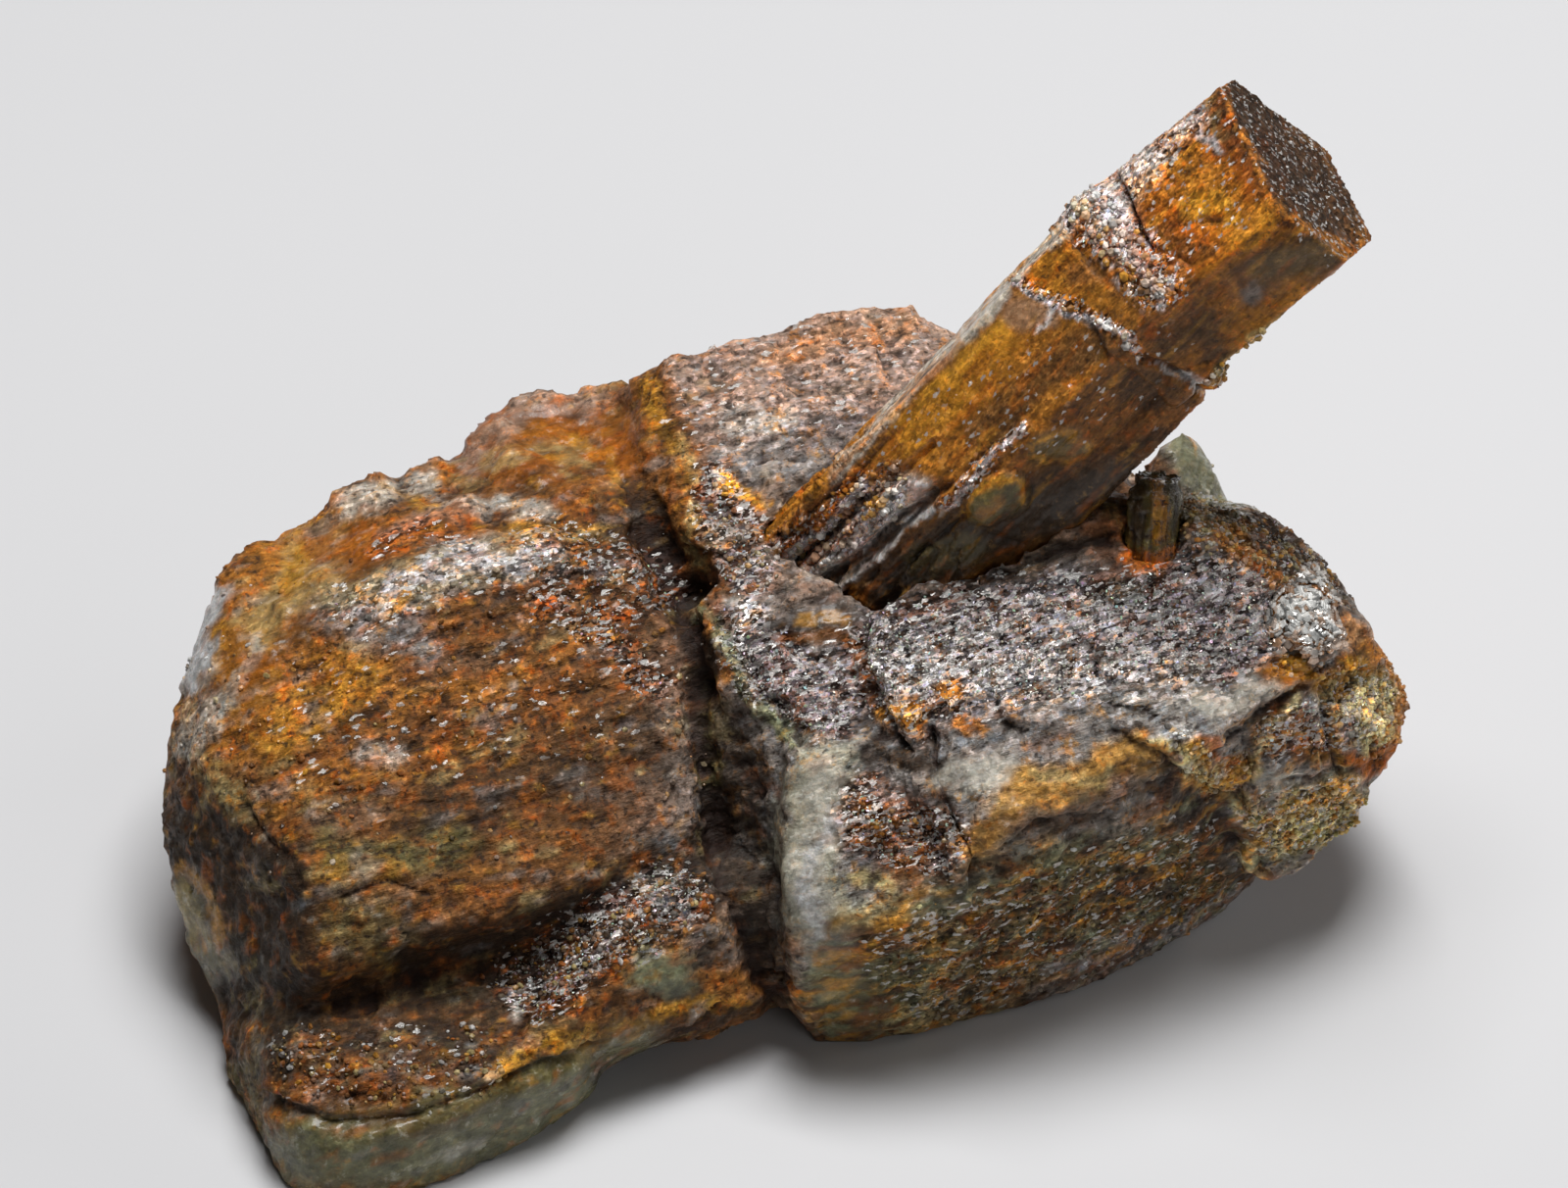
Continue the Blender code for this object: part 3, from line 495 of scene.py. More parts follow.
def seen_by_eye(mesh):
    """1 for each vertex that nothing hides from the eye, 0 for the rest."""
    places, outwards = places_of(mesh)
    shell = bmesh.new()
    shell.from_mesh(mesh)
    tree = BVHTree.FromBMesh(shell)
    shell.free()
    eye = np.array(camera.location)
    seen = np.zeros(len(places))
    facing = ((eye - places) * outwards).sum(1) > 0
    for i in np.nonzero(facing)[0]:
        start = Vector(places[i] + outwards[i] * LIFT_OFF_SKIN)
        if tree.ray_cast(start, camera.location - start)[0] is None:
            seen[i] = 1
    return seen


def cut_finer(mesh, wanted):
    """Cuts each face whose vertices are all wanted into four."""
    shell = bmesh.new()
    shell.from_mesh(mesh)
    faces = [f for f in shell.faces if all(wanted[v.index] for v in f.verts)]
    edges = list({e for f in faces for e in f.edges})
    bmesh.ops.subdivide_edges(shell, edges=edges, cuts=1, use_grid_fill=True)
    shell.to_mesh(mesh)
    shell.free()
    mesh.update()


def eased(share):
    """A share from 0 to 1 that starts and ends gently."""
    share = np.clip(share, 0, 1)
    return share * share * (3 - 2 * share)


def cloudy(places, size, octaves=4):
    """Soft unevenness from about -1 to 1, in lumps of the given size."""
    points = (places / size).tolist()
    return np.array([noise.fractal(p, 1.0, 2.0, octaves) for p in points])


def chipped(places, size):
    """Flat chips of the given size, each tilted its own way, from about -1 to 1."""
    heights = np.empty(len(places))
    middle = Vector((0.5, 0.5, 0.5))
    for i, point in enumerate((places / size).tolist()):
        nearest = noise.voronoi(point)[1][0]
        tilt = noise.cell_vector(nearest * 7.3) - middle
        heights[i] = 2 * (Vector(point) - nearest).dot(tilt)
    return heights


def line_distance(spots, line):
    """How far each spot of the picture lies from a line, and on which side of it."""
    best = np.full(len(spots), 1e9)
    side = np.zeros(len(spots))
    for a, b in zip(line, line[1:]):
        a, b = np.array(a, float), np.array(b, float)
        along = np.clip((spots - a) @ (b - a) / ((b - a) @ (b - a)), 0, 1)
        away = spots - (a + along[:, None] * (b - a))
        distance = np.hypot(*away.T)
        closer = distance < best
        best[closer] = distance[closer]
        turn = (b - a)[0] * away[:, 1] - (b - a)[1] * away[:, 0]
        side[closer] = np.sign(turn)[closer]
    return best, side


def patchy(spots, places, reach=9.0):
    """The spots of the picture pushed about, so that a mark has a natural edge."""
    wide = [cloudy(places + shift, 5 * MM, 3) for shift in (0.0, 0.31)]
    fine = [cloudy(places + shift, 1.2 * MM, 2) for shift in (0.57, 0.83)]
    return spots + reach * (1.6 * np.array(wide) + 0.9 * np.array(fine)).T


def covered(spots, marks):
    """How strongly a list of marks covers each spot, from 0 to 1."""
    cover = np.zeros(len(spots))
    for _, strength, reach, *line in marks:
        distance, _ = line_distance(spots, line)
        cover = np.maximum(cover, strength * eased(1.6 * (1 - distance / reach)))
    return cover


def notched(away):
    """A sharp notch, from 1 on its line to 0 at its reach."""
    return np.clip(1 - away, 0, 1) ** 1.3


def swollen(away):
    """A soft swelling, from 1 about its line to 0 at its reach."""
    return eased(1.3 * (1 - away))


def marked(spots, marks, profile):
    """The height, in millimetres, that marks of one profile give each spot."""
    height = np.zeros(len(spots))
    for _, rise, reach, *line in marks:
        distance, _ = line_distance(spots, line)
        height += rise * profile(distance / reach)
    return height


def stepped(spots, steps):
    """How far, in millimetres, a list of steps drops each spot."""
    drop = np.zeros(len(spots))
    for _, fall, reach, *line in steps:
        distance, side = line_distance(spots, line)
        fade = eased(1.2 * (1 - distance / reach))
        drop += fall * fade * eased(side * distance / STEP_BLUR + 0.5)
    return drop


def mineral(name):
    """A mineral's colour, as an array."""
    return np.array(MINERALS[name])


def stained(spots, marks, ground):
    """The colour at each spot: the ground, and every mark laid over it in turn, stains and painted shade
    alike.
    """
    colours = ground.copy()
    for _, name, strength, reach, *line in marks:
        distance, _ = line_distance(spots, line)
        cover = strength * eased(1.5 * (1 - distance / reach))[:, None]
        colours += cover * (mineral(name) - colours)
    return colours


def mottled(colours, places, patches, share, edge=SOFT_EDGE):
    """The colours with patches of other minerals laid in them."""
    colours = colours.copy()
    for number, (name, strength, rarity) in enumerate(patches):
        lumps = cloudy(places + 3.7 * number + 1.3 * rarity, 1.0, 5)
        cover = share * strength * eased(lumps * edge - rarity)[:, None]
        colours += cover * (mineral(name) - colours)
    return colours


def carried_round(values, seen, links, rounds, elsewhere):
    """Values of the seen side, carried a little way on to the unseen side."""
    weight = seen.copy()
    shape = (-1,) + (1,) * (values.ndim - 1)
    held = values * seen.reshape(shape)
    for _ in range(rounds):
        weight = np.where(seen > 0, 1, averaged(weight, links))
        mean = averaged(held, links)
        held = np.where(seen.reshape(shape) > 0, values, mean)
    weight = weight.reshape(shape)
    known = held / np.maximum(weight, 1e-6)
    share = eased(weight * 1.5)
    return known * share + elsewhere * (1 - share)


def hollow_of(places, outwards, links, rounds, depth):
    """1 for each vertex in a hollow of the given depth, -1 for one on an edge."""
    middle = places.copy()
    for _ in range(rounds):
        middle = averaged(middle, links)
    return np.clip(((middle - places) * outwards).sum(1) / depth, -1, 1)


def add_attribute(mesh, name, values):
    """Lays a value or a colour on each vertex of a mesh, for its material to read."""
    kind = "FLOAT_COLOR" if values.ndim == 2 else "FLOAT"
    attribute = mesh.attributes.new(name, kind, "POINT")
    if values.ndim == 2:
        values = np.hstack((values, np.ones((len(values), 1))))
        attribute.data.foreach_set("color", values.astype(np.float32).ravel())
    else:
        attribute.data.foreach_set("value", values.astype(np.float32))


STREAKS_ALONG = RIGHTWARDS * math.cos(STREAK_RISE) + UPWARDS * math.sin(STREAK_RISE)
STREAKS_ACROSS = UPWARDS * math.cos(STREAK_RISE) - RIGHTWARDS * math.sin(STREAK_RISE)
MATRIX_GRAIN = Matrix((STREAKS_ALONG, STREAKS_ACROSS, NEARWARDS))


def along_grain(places, grain, lengths):
    """Places measured along, across and out of the grain, in the given lengths."""
    return places @ np.array(grain).T / (np.array(lengths) * MM)


def worn_round(places, spots, links, seen, rounds):
    """How far water has rounded the matrix: by its marks, or by its side if unseen."""
    behind = eased((-places[:, 0] / MM - 4) / 8)
    return carried_round(covered(spots, MATRIX_WORN), seen, links, rounds, behind)


def smoothed_stone(piece):
    """Rounds the worn side of the matrix, then cuts what the eye sees into finer squares."""
    mesh = piece.data
    places, _ = places_of(mesh)
    links = links_of(mesh)
    worn = worn_round(places, in_picture(places), links, seen_by_eye(mesh), 25)[:, None]
    flat_foot = eased((places[:, 2] / MM - 0.2) / 1.2)[:, None]
    for turn in range(SMOOTHING_TURNS):
        share = 0.6 * worn + (0.25 if turn < SMOOTHED_ALL_OVER else 0.0)
        places += np.clip(share, 0, 0.6) * flat_foot * (averaged(places, links) - places)
    set_places(mesh, places)

    cut_finer(mesh, seen_by_eye(mesh) > 0)
    places, _ = places_of(mesh)
    links = links_of(mesh)
    for _ in range(2):
        places += 0.4 * (averaged(places, links) - places)
    set_places(mesh, places)


def broken_stone(piece):
    """Chips, beds and pits the matrix's skin, and cuts its cracks and steps."""
    mesh = piece.data
    places, outwards = places_of(mesh)
    links = links_of(mesh)
    seen = seen_by_eye(mesh)
    spots = in_picture(places)
    worn = worn_round(places, spots, links, seen, 40)
    glass = carried_round(covered(spots, MATRIX_GLASS), seen, links, 30, np.zeros(len(spots)))
    rough = (1 - 0.75 * worn) * (1 - 0.6 * glass)
    dull = 1 - 0.7 * glass

    swells = 0.55 * cloudy(places, 9 * MM, 3)
    bent = places + cloudy(places, 3 * MM, 2)[:, None] * 0.3 * MM
    blocks = 0.55 * rough * chipped(bent, 4.5 * MM)
    chips = 0.28 * rough * chipped(places, 1.7 * MM)
    bedding = along_grain(places, MATRIX_GRAIN, (4, 1.1, 2.2))
    beds = (0.16 - 0.04 * worn) * cloudy(bedding, 1.0, 4)
    dents = 0.16 * worn * dull * cloudy(places, 2.2 * MM, 4)
    slabs = 0.30 * worn * chipped(along_grain(places, MATRIX_GRAIN, (5, 3, 3)), 1.0)
    grit = 0.20 * (1 - 0.3 * worn) * dull * cloudy(places, 0.75 * MM, 2)
    height = swells + blocks + chips + beds + dents + slabs + grit

    ragged = patchy(spots, places, 2.0)
    height -= seen * marked(ragged, MATRIX_CUTS, notched)
    height += seen * marked(ragged, MATRIX_SWELLINGS, swollen)
    height -= seen * stepped(ragged, MATRIX_STEPS)
    foot = eased((places[:, 2] / MM - 0.1) / 1.0)
    places += outwards * (height * MM * foot)[:, None]
    set_places(mesh, places)
    return seen


def painted_stone(piece, seen):
    """Lays the stains, the painted shade and highlight, the glitter and the glassy places on the matrix.
    """
    mesh = piece.data
    places, outwards = places_of(mesh)
    links = links_of(mesh)
    spots = patchy(in_picture(places), places)
    left = eased((-places[:, 0] / MM + 2) / 14)[:, None]

    large = along_grain(places, MATRIX_GRAIN, (14, 4, 8))
    small = along_grain(places, MATRIX_GRAIN, (5, 2.4, 3.5))
    finer = along_grain(places, MATRIX_GRAIN, (2.2, 1.3, 1.7))
    bands = eased(cloudy(large, 1.0, 5) * 1.2 + 0.5)[:, None]
    ground = mineral("brown") + bands * (mineral("rust") - mineral("brown"))
    ground = mottled(ground, large, RIGHT_GROUND, 1 - left)
    ground = mottled(ground, large, LEFT_GROUND, left)
    ground = mottled(ground, large, WHOLE_GROUND, 1.0)

    glitter = covered(spots, MATRIX_GLITTER)
    sparkling = np.clip(glitter + 1 - seen, 0, 1)[:, None] * (1 - left)
    front = (covered(spots, MATRIX_FRONT) * seen)[:, None]
    crumbly = (covered(spots, MATRIX_CRUMBLY) * seen)[:, None]
    stain = carried_round(stained(spots, MATRIX_STAINS_AND_SHADE, ground), seen, links, 45, ground)
    stain = mottled(stain, small, SMALL_PATCHES, 0.35 + 0.45 * left)
    stain = mottled(stain, finer, LEFT_PATCHES, 0.8 * left)
    stain = mottled(stain, finer + 9.0, MICA_PATCHES, sparkling)
    stain = mottled(stain, small * 1.6, FRONT_PATCHES, front, SHARP_EDGE)
    stain = mottled(stain, places / (1.3 * MM), CRUMBLY_PATCHES, crumbly, FIRM_EDGE)
    stain *= 1 - 0.1 * left + 0.3 * crumbly
    add_attribute(mesh, "stain", stain)
    behind = 0.5 * eased(cloudy(places + 0.4, 8 * MM, 3) * 2 + 0.3)
    add_attribute(mesh, "glitter", carried_round(glitter, seen, links, 45, behind))
    behind = eased(cloudy(places + 0.9, 9 * MM, 3) * 3 - 0.6)
    glass = carried_round(covered(spots, MATRIX_GLASS), seen, links, 45, behind)
    add_attribute(mesh, "glass", glass)
    add_attribute(mesh, "hollow", hollow_of(places, outwards, links, 14, 0.35 * MM))


def fill_in(tree, node, values):
    """Sets a node's inputs, or links those whose value is a socket."""
    for socket, value in values.items():
        if isinstance(value, bpy.types.NodeSocket):
            tree.links.new(value, node.inputs[socket])
        else:
            node.inputs[socket].default_value = value


def place(tree, kind, values, **options):
    """A new shader node with its options set, and its inputs set or linked."""
    made = tree.nodes.new(kind)
    for option, value in options.items():
        setattr(made, option, value)
    fill_in(tree, made, values)
    return made


def blend(tree, share, first, second, how="MIX"):
    """The colour between two colours, by share."""
    values = {0: share, 6: first, 7: second}
    return place(tree, "ShaderNodeMix", values, data_type="RGBA", blend_type=how).outputs[2]


def dyed(tree, colour, dye):
    """A colour multiplied by a dye, or by a value that lightens or darkens it."""
    return blend(tree, 1.0, colour, dye, "MULTIPLY")


def reckon(tree, how, first, second):
    """The result of a sum on two values."""
    return place(tree, "ShaderNodeMath", {0: first, 1: second}, operation=how).outputs[0]


def vector_reckon(tree, how, values):
    """The result of a sum on vectors."""
    return place(tree, "ShaderNodeVectorMath", values, operation=how).outputs[0]


def spread(tree, value, low, high, to_low=0.0, to_high=1.0):
    """The value taken from one range on to another, and held inside it."""
    values = {0: value, 1: low, 2: high, 3: to_low, 4: to_high}
    return place(tree, "ShaderNodeMapRange", values).outputs[0]


def noise_at(tree, where, scale, detail, roughness=0.5):
    """The value and the colour of a noise texture."""
    values = {"Vector": where, "Scale": scale, "Detail": detail, "Roughness": roughness}
    return place(tree, "ShaderNodeTexNoise", values).outputs


def channels(tree, colour):
    """The three parts of a colour, each a value of its own."""
    return place(tree, "ShaderNodeSeparateColor", {0: colour}).outputs


def new_group(name, inputs, outputs):
    """An empty shader group, its input node and its output node."""
    tree = bpy.data.node_groups.new(name, "ShaderNodeTree")
    for label, kind, value in inputs:
        socket = tree.interface.new_socket(label, in_out="INPUT", socket_type=kind)
        if value is not None:
            socket.default_value = value
    for label, kind in outputs:
        tree.interface.new_socket(label, in_out="OUTPUT", socket_type=kind)
    given = tree.nodes.new("NodeGroupInput").outputs
    gives = tree.nodes.new("NodeGroupOutput")
    return tree, given, gives


COLOUR, NUMBER, VECTOR = "NodeSocketColor", "NodeSocketFloat", "NodeSocketVector"


def flake_glints():
    """A group: small flakes, each tilted its own way, that catch the light.

    Place is measured in flakes, so that a cell is one flake.
    """
    tree, given, gives = new_group(
        "Flake glints",
        (("Place", VECTOR, None), ("Amount", NUMBER, 0.5)),
        (("Flake", NUMBER), ("Shade", NUMBER), ("Tint", COLOUR), ("Normal", VECTOR)),
    )
    warm, cool = (1.25, 0.88, 0.70, 1), (0.90, 0.95, 1.22, 1)
    bends = noise_at(tree, given["Place"], 0.9, 2.0)[1]
    bent = vector_reckon(tree, "SCALE", {0: bends, 3: 1.6})
    moved = vector_reckon(tree, "ADD", {0: given["Place"], 1: bent})
    cells = place(tree, "ShaderNodeTexVoronoi", {"Vector": moved, "Scale": 1.0}).outputs["Color"]
    parts = channels(tree, cells)
    bar = reckon(tree, "SUBTRACT", 1.0, reckon(tree, "MULTIPLY", given["Amount"], 0.38))
    flake = spread(tree, parts[0], bar, reckon(tree, "ADD", bar, 0.02))
    tilt = vector_reckon(tree, "SUBTRACT", {0: cells, 1: (0.5, 0.5, 0.5)})
    lean = reckon(tree, "ADD", given["Amount"], 0.35)
    leaned = vector_reckon(tree, "SCALE", {0: tilt, 3: lean})
    skin = place(tree, "ShaderNodeNewGeometry", {}).outputs["Normal"]
    turned = vector_reckon(tree, "ADD", {0: skin, 1: leaned})
    fill_in(tree, gives, {
        "Flake": flake,
        "Shade": reckon(tree, "POWER", parts[1], 1.7),
        "Tint": blend(tree, parts[2], warm, cool),
        "Normal": vector_reckon(tree, "NORMALIZE", {0: turned}),
    })
    return tree


def iron_streaks():
    """A group: iron stain in streaks, from dark threads to bright orange grains."""
    tree, given, gives = new_group(
        "Iron streaks",
        (("Colour", COLOUR, (0.3, 0.1, 0.03, 1)), ("Grain place", VECTOR, None),
         ("Place", VECTOR, None), ("Hollow", NUMBER, 0.0), ("Grey share", NUMBER, 0.6)),
        (("Colour", COLOUR), ("Height", NUMBER), ("Streak", NUMBER)),
    )
    orange_dye, grey_dye, deep_dye = (1.8, 1.05, 0.35, 1), (1.05, 1.45, 1.9, 1), (0.42, 0.34, 0.32, 1)
    fleck_dye, edge_dye = (2.3, 2.4, 2.6, 1), (1.9, 1.75, 1.6, 1)
    speck_black, thread_black = (0.028, 0.016, 0.010, 1), (0.030, 0.016, 0.010, 1)
    hollow_black = (0.022, 0.012, 0.009, 1)

    long_noise = noise_at(tree, given["Grain place"], 1.0, 7.0, 0.62)[0]
    fine_noise = noise_at(tree, given["Place"], 1000.0, 4.0, 0.6)[0]
    mottle = noise_at(tree, given["Place"], 560.0, 6.0, 0.7)
    parts = channels(tree, mottle[1])
    specks = noise_at(tree, given["Place"], 1700.0, 3.0)[0]
    streak = spread(tree, long_noise, 0.34, 0.66)
    grain = spread(tree, fine_noise, 0.3, 0.7)
    lift = reckon(tree, "ADD", reckon(tree, "MULTIPLY", streak, 0.8), reckon(tree, "MULTIPLY", grain, 0.6))

    even = dyed(tree, given["Colour"], spread(tree, lift, 0.1, 1.2, 0.30, 1.60))
    warm = spread(tree, mottle[0], 0.54, 0.64, 0.0, 0.8)
    colour = blend(tree, warm, even, dyed(tree, even, orange_dye))
    pale = reckon(tree, "MULTIPLY", spread(tree, parts[1], 0.54, 0.64), given["Grey share"])
    colour = blend(tree, pale, colour, dyed(tree, even, grey_dye))
    deep = spread(tree, parts[2], 0.55, 0.66, 0.0, 0.6)
    colour = blend(tree, deep, colour, dyed(tree, even, deep_dye))
    speck = spread(tree, specks, 0.57, 0.66, 0.0, 0.75)
    colour = blend(tree, speck, colour, speck_black)
    fleck = spread(tree, specks, 0.42, 0.33, 0.0, 0.6)
    colour = blend(tree, fleck, colour, dyed(tree, even, fleck_dye))
    thread = spread(tree, long_noise, 0.39, 0.31, 0.0, 0.8)
    colour = blend(tree, thread, colour, thread_black)
    sunk = spread(tree, given["Hollow"], 0.1, 1.0, 0.0, 0.85)
    colour = blend(tree, sunk, colour, hollow_black)
    worn = spread(tree, given["Hollow"], -0.2, -1.0, 0.0, 0.45)
    colour = blend(tree, worn, colour, dyed(tree, colour, edge_dye))
    fill_in(tree, gives, {"Colour": colour, "Height": lift, "Streak": streak})
    return tree


def glassy_veils():
    """A group: clear quartz with milky veils and inner breaks that shade it in patches."""
    tree, given, gives = new_group(
        "Glassy veils",
        (("Colour", COLOUR, (0.4, 0.4, 0.3, 1)), ("Place", VECTOR, None),
         ("Milk", COLOUR, (0.66, 0.66, 0.58, 1))),
        (("Colour", COLOUR), ("Height", NUMBER)),
    )
    bends = noise_at(tree, given["Place"], 300.0, 4.0)[1]
    shift = vector_reckon(tree, "SCALE", {0: bends, 3: 0.005})
    moved = vector_reckon(tree, "ADD", {0: given["Place"], 1: shift})
    breaks = place(tree, "ShaderNodeTexVoronoi", {"Vector": moved, "Scale": 420.0}).outputs["Color"]
    parts = channels(tree, breaks)
    veils = noise_at(tree, given["Place"], 700.0, 6.0, 0.7)[0]
    patched = dyed(tree, given["Colour"], spread(tree, parts[0], 0.0, 1.0, 0.78, 1.16))
    veiled = dyed(tree, patched, spread(tree, veils, 0.36, 0.66, 0.55, 1.4))
    milky = spread(tree, veils, 0.58, 0.70, 0.0, 0.55)
    fill_in(tree, gives, {
        "Colour": blend(tree, milky, veiled, given["Milk"]),
        "Height": reckon(tree, "ADD", reckon(tree, "MULTIPLY", parts[1], 0.8), veils),
    })
    return tree


FLAKE_GLINTS = flake_glints()
IRON_STREAKS = iron_streaks()
GLASSY_VEILS = glassy_veils()


def new_material(name):
    """A new material, its tree, its surface, and places on the piece to pattern it by."""
    material = bpy.data.materials.new(name)
    material.use_nodes = True
    tree = material.node_tree
    where = place(tree, "ShaderNodeTexCoord", {}).outputs["Object"]
    return material, tree, tree.nodes["Principled BSDF"], where


def attribute_of(tree, name, output="Fac"):
    """What was laid on the vertices under a name."""
    return place(tree, "ShaderNodeAttribute", {}, attribute_name=name).outputs[output]


def grain_mapping(tree, where, grain, lengths):
    """Object places measured along the stone's grain, in the given lengths."""
    turn = grain.transposed().to_euler()
    values = {"Vector": where, "Rotation": turn, "Scale": Vector(lengths) * MM}
    return place(tree, "ShaderNodeMapping", values, vector_type="TEXTURE").outputs[0]


def bumped(tree, height, strength, distance, **under):
    """The skin's normals, bumped by a height, over other normals if they are given."""
    values = {"Height": height, "Strength": strength, "Distance": distance, **under}
    return place(tree, "ShaderNodeBump", values).outputs[0]


def stone_material(name, grain, streak_lengths, flake_lengths, grey_share, milk):
    """Stained stone: colours from the marks, streaks along its grain, glinting flakes."""
    material, tree, surface, where = new_material(name)
    stain = attribute_of(tree, "stain", "Color")
    glitter = attribute_of(tree, "glitter")
    glass = attribute_of(tree, "glass")
    silver = (0.80, 0.78, 0.75, 1)
    streaks = place(tree, "ShaderNodeGroup", {
        "Colour": stain,
        "Grain place": grain_mapping(tree, where, grain, streak_lengths),
        "Place": where,
        "Hollow": attribute_of(tree, "hollow"),
        "Grey share": grey_share,
    }, node_tree=IRON_STREAKS).outputs
    clear = place(tree, "ShaderNodeGroup", {
        "Colour": stain, "Place": where, "Milk": milk,
    }, node_tree=GLASSY_VEILS).outputs
    glints = place(tree, "ShaderNodeGroup", {
        "Place": grain_mapping(tree, where, grain, flake_lengths), "Amount": glitter,
    }, node_tree=FLAKE_GLINTS).outputs

    cleared = reckon(tree, "MULTIPLY", glass, 0.85)
    stone = blend(tree, cleared, streaks["Colour"], clear["Colour"])
    shade = spread(tree, glints["Shade"], 0.0, 1.0, 0.22, 2.7)
    tinted = dyed(tree, dyed(tree, stone, glints["Tint"]), shade)
    speckled = spread(tree, glitter, 0.0, 0.7, 0.12, 1.0)
    shaded = blend(tree, speckled, stone, tinted)
    dull = spread(tree, streaks["Streak"], 0.0, 1.0, 0.62, 0.42)
    clean = reckon(tree, "SUBTRACT", dull, reckon(tree, "MULTIPLY", glass, 0.24))
    rise = blend(tree, glass, streaks["Height"], clear["Height"])
    fill_in(tree, surface, {
        "Base Color": blend(tree, reckon(tree, "MULTIPLY", glints["Flake"], 0.6), shaded, silver),
        "Metallic": reckon(tree, "MULTIPLY", glints["Flake"], 0.5),
        "Roughness": reckon(tree, "SUBTRACT", clean, reckon(tree, "MULTIPLY", glints["Flake"], 0.26)),
        "Normal": bumped(tree, rise, 0.8, 0.28 * MM, Normal=glints["Normal"]),
        "Subsurface Weight": 0.12,
        "Subsurface Radius": (1.0, 0.55, 0.3),
        "Subsurface Scale": 1.2 * MM,
        "Specular IOR Level": 0.16,
        "Coat Weight": reckon(tree, "MULTIPLY", glass, 0.35),
        "Coat Roughness": 0.12,
    })
    return material


matrix = fine_copy("quartz_matrix", "matrix_stone", MATRIX_GRID, MATRIX_LUMPS)
smoothed_stone(matrix)
matrix_seen = broken_stone(matrix)
painted_stone(matrix, matrix_seen)
QUARTZ_MILK = (0.66, 0.66, 0.58, 1)
matrix.data.materials.append(stone_material(
    "stained_quartz", MATRIX_GRAIN, (3.2, 0.9, 1.6), (0.62, 0.3, 0.4), 0.4, QUARTZ_MILK))
matrix.data.shade_smooth()
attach(matrix, "root")
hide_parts("quartz_matrix")

# The beryl prism. A flattened six-sided crystal, translucent golden under an iron
# stain, that grew out of the matrix. It once broke across and healed slightly out
# of line, with a frosted crust over the join; its foot is splintered lengthwise.
BERYL_GRID = 0.26 * MM
BERYL_ROOT = Vector((5.2, 3.8, 32.2)) * MM
BERYL_WAY = Vector((0.616, 0.135, 0.776)).normalized()
HEAD_WAY = Vector((0.6925, 0.0755, 0.7175)).normalized()
BROAD_FACE_WAY = BERYL_WAY.cross(Vector((0, -0.7071, 0.7071))).normalized()
BERYL_GRAIN = Matrix((BERYL_WAY, BROAD_FACE_WAY, BERYL_WAY.cross(BROAD_FACE_WAY)))
BERYL_MILK = (0.60, 0.34, 0.10, 1)

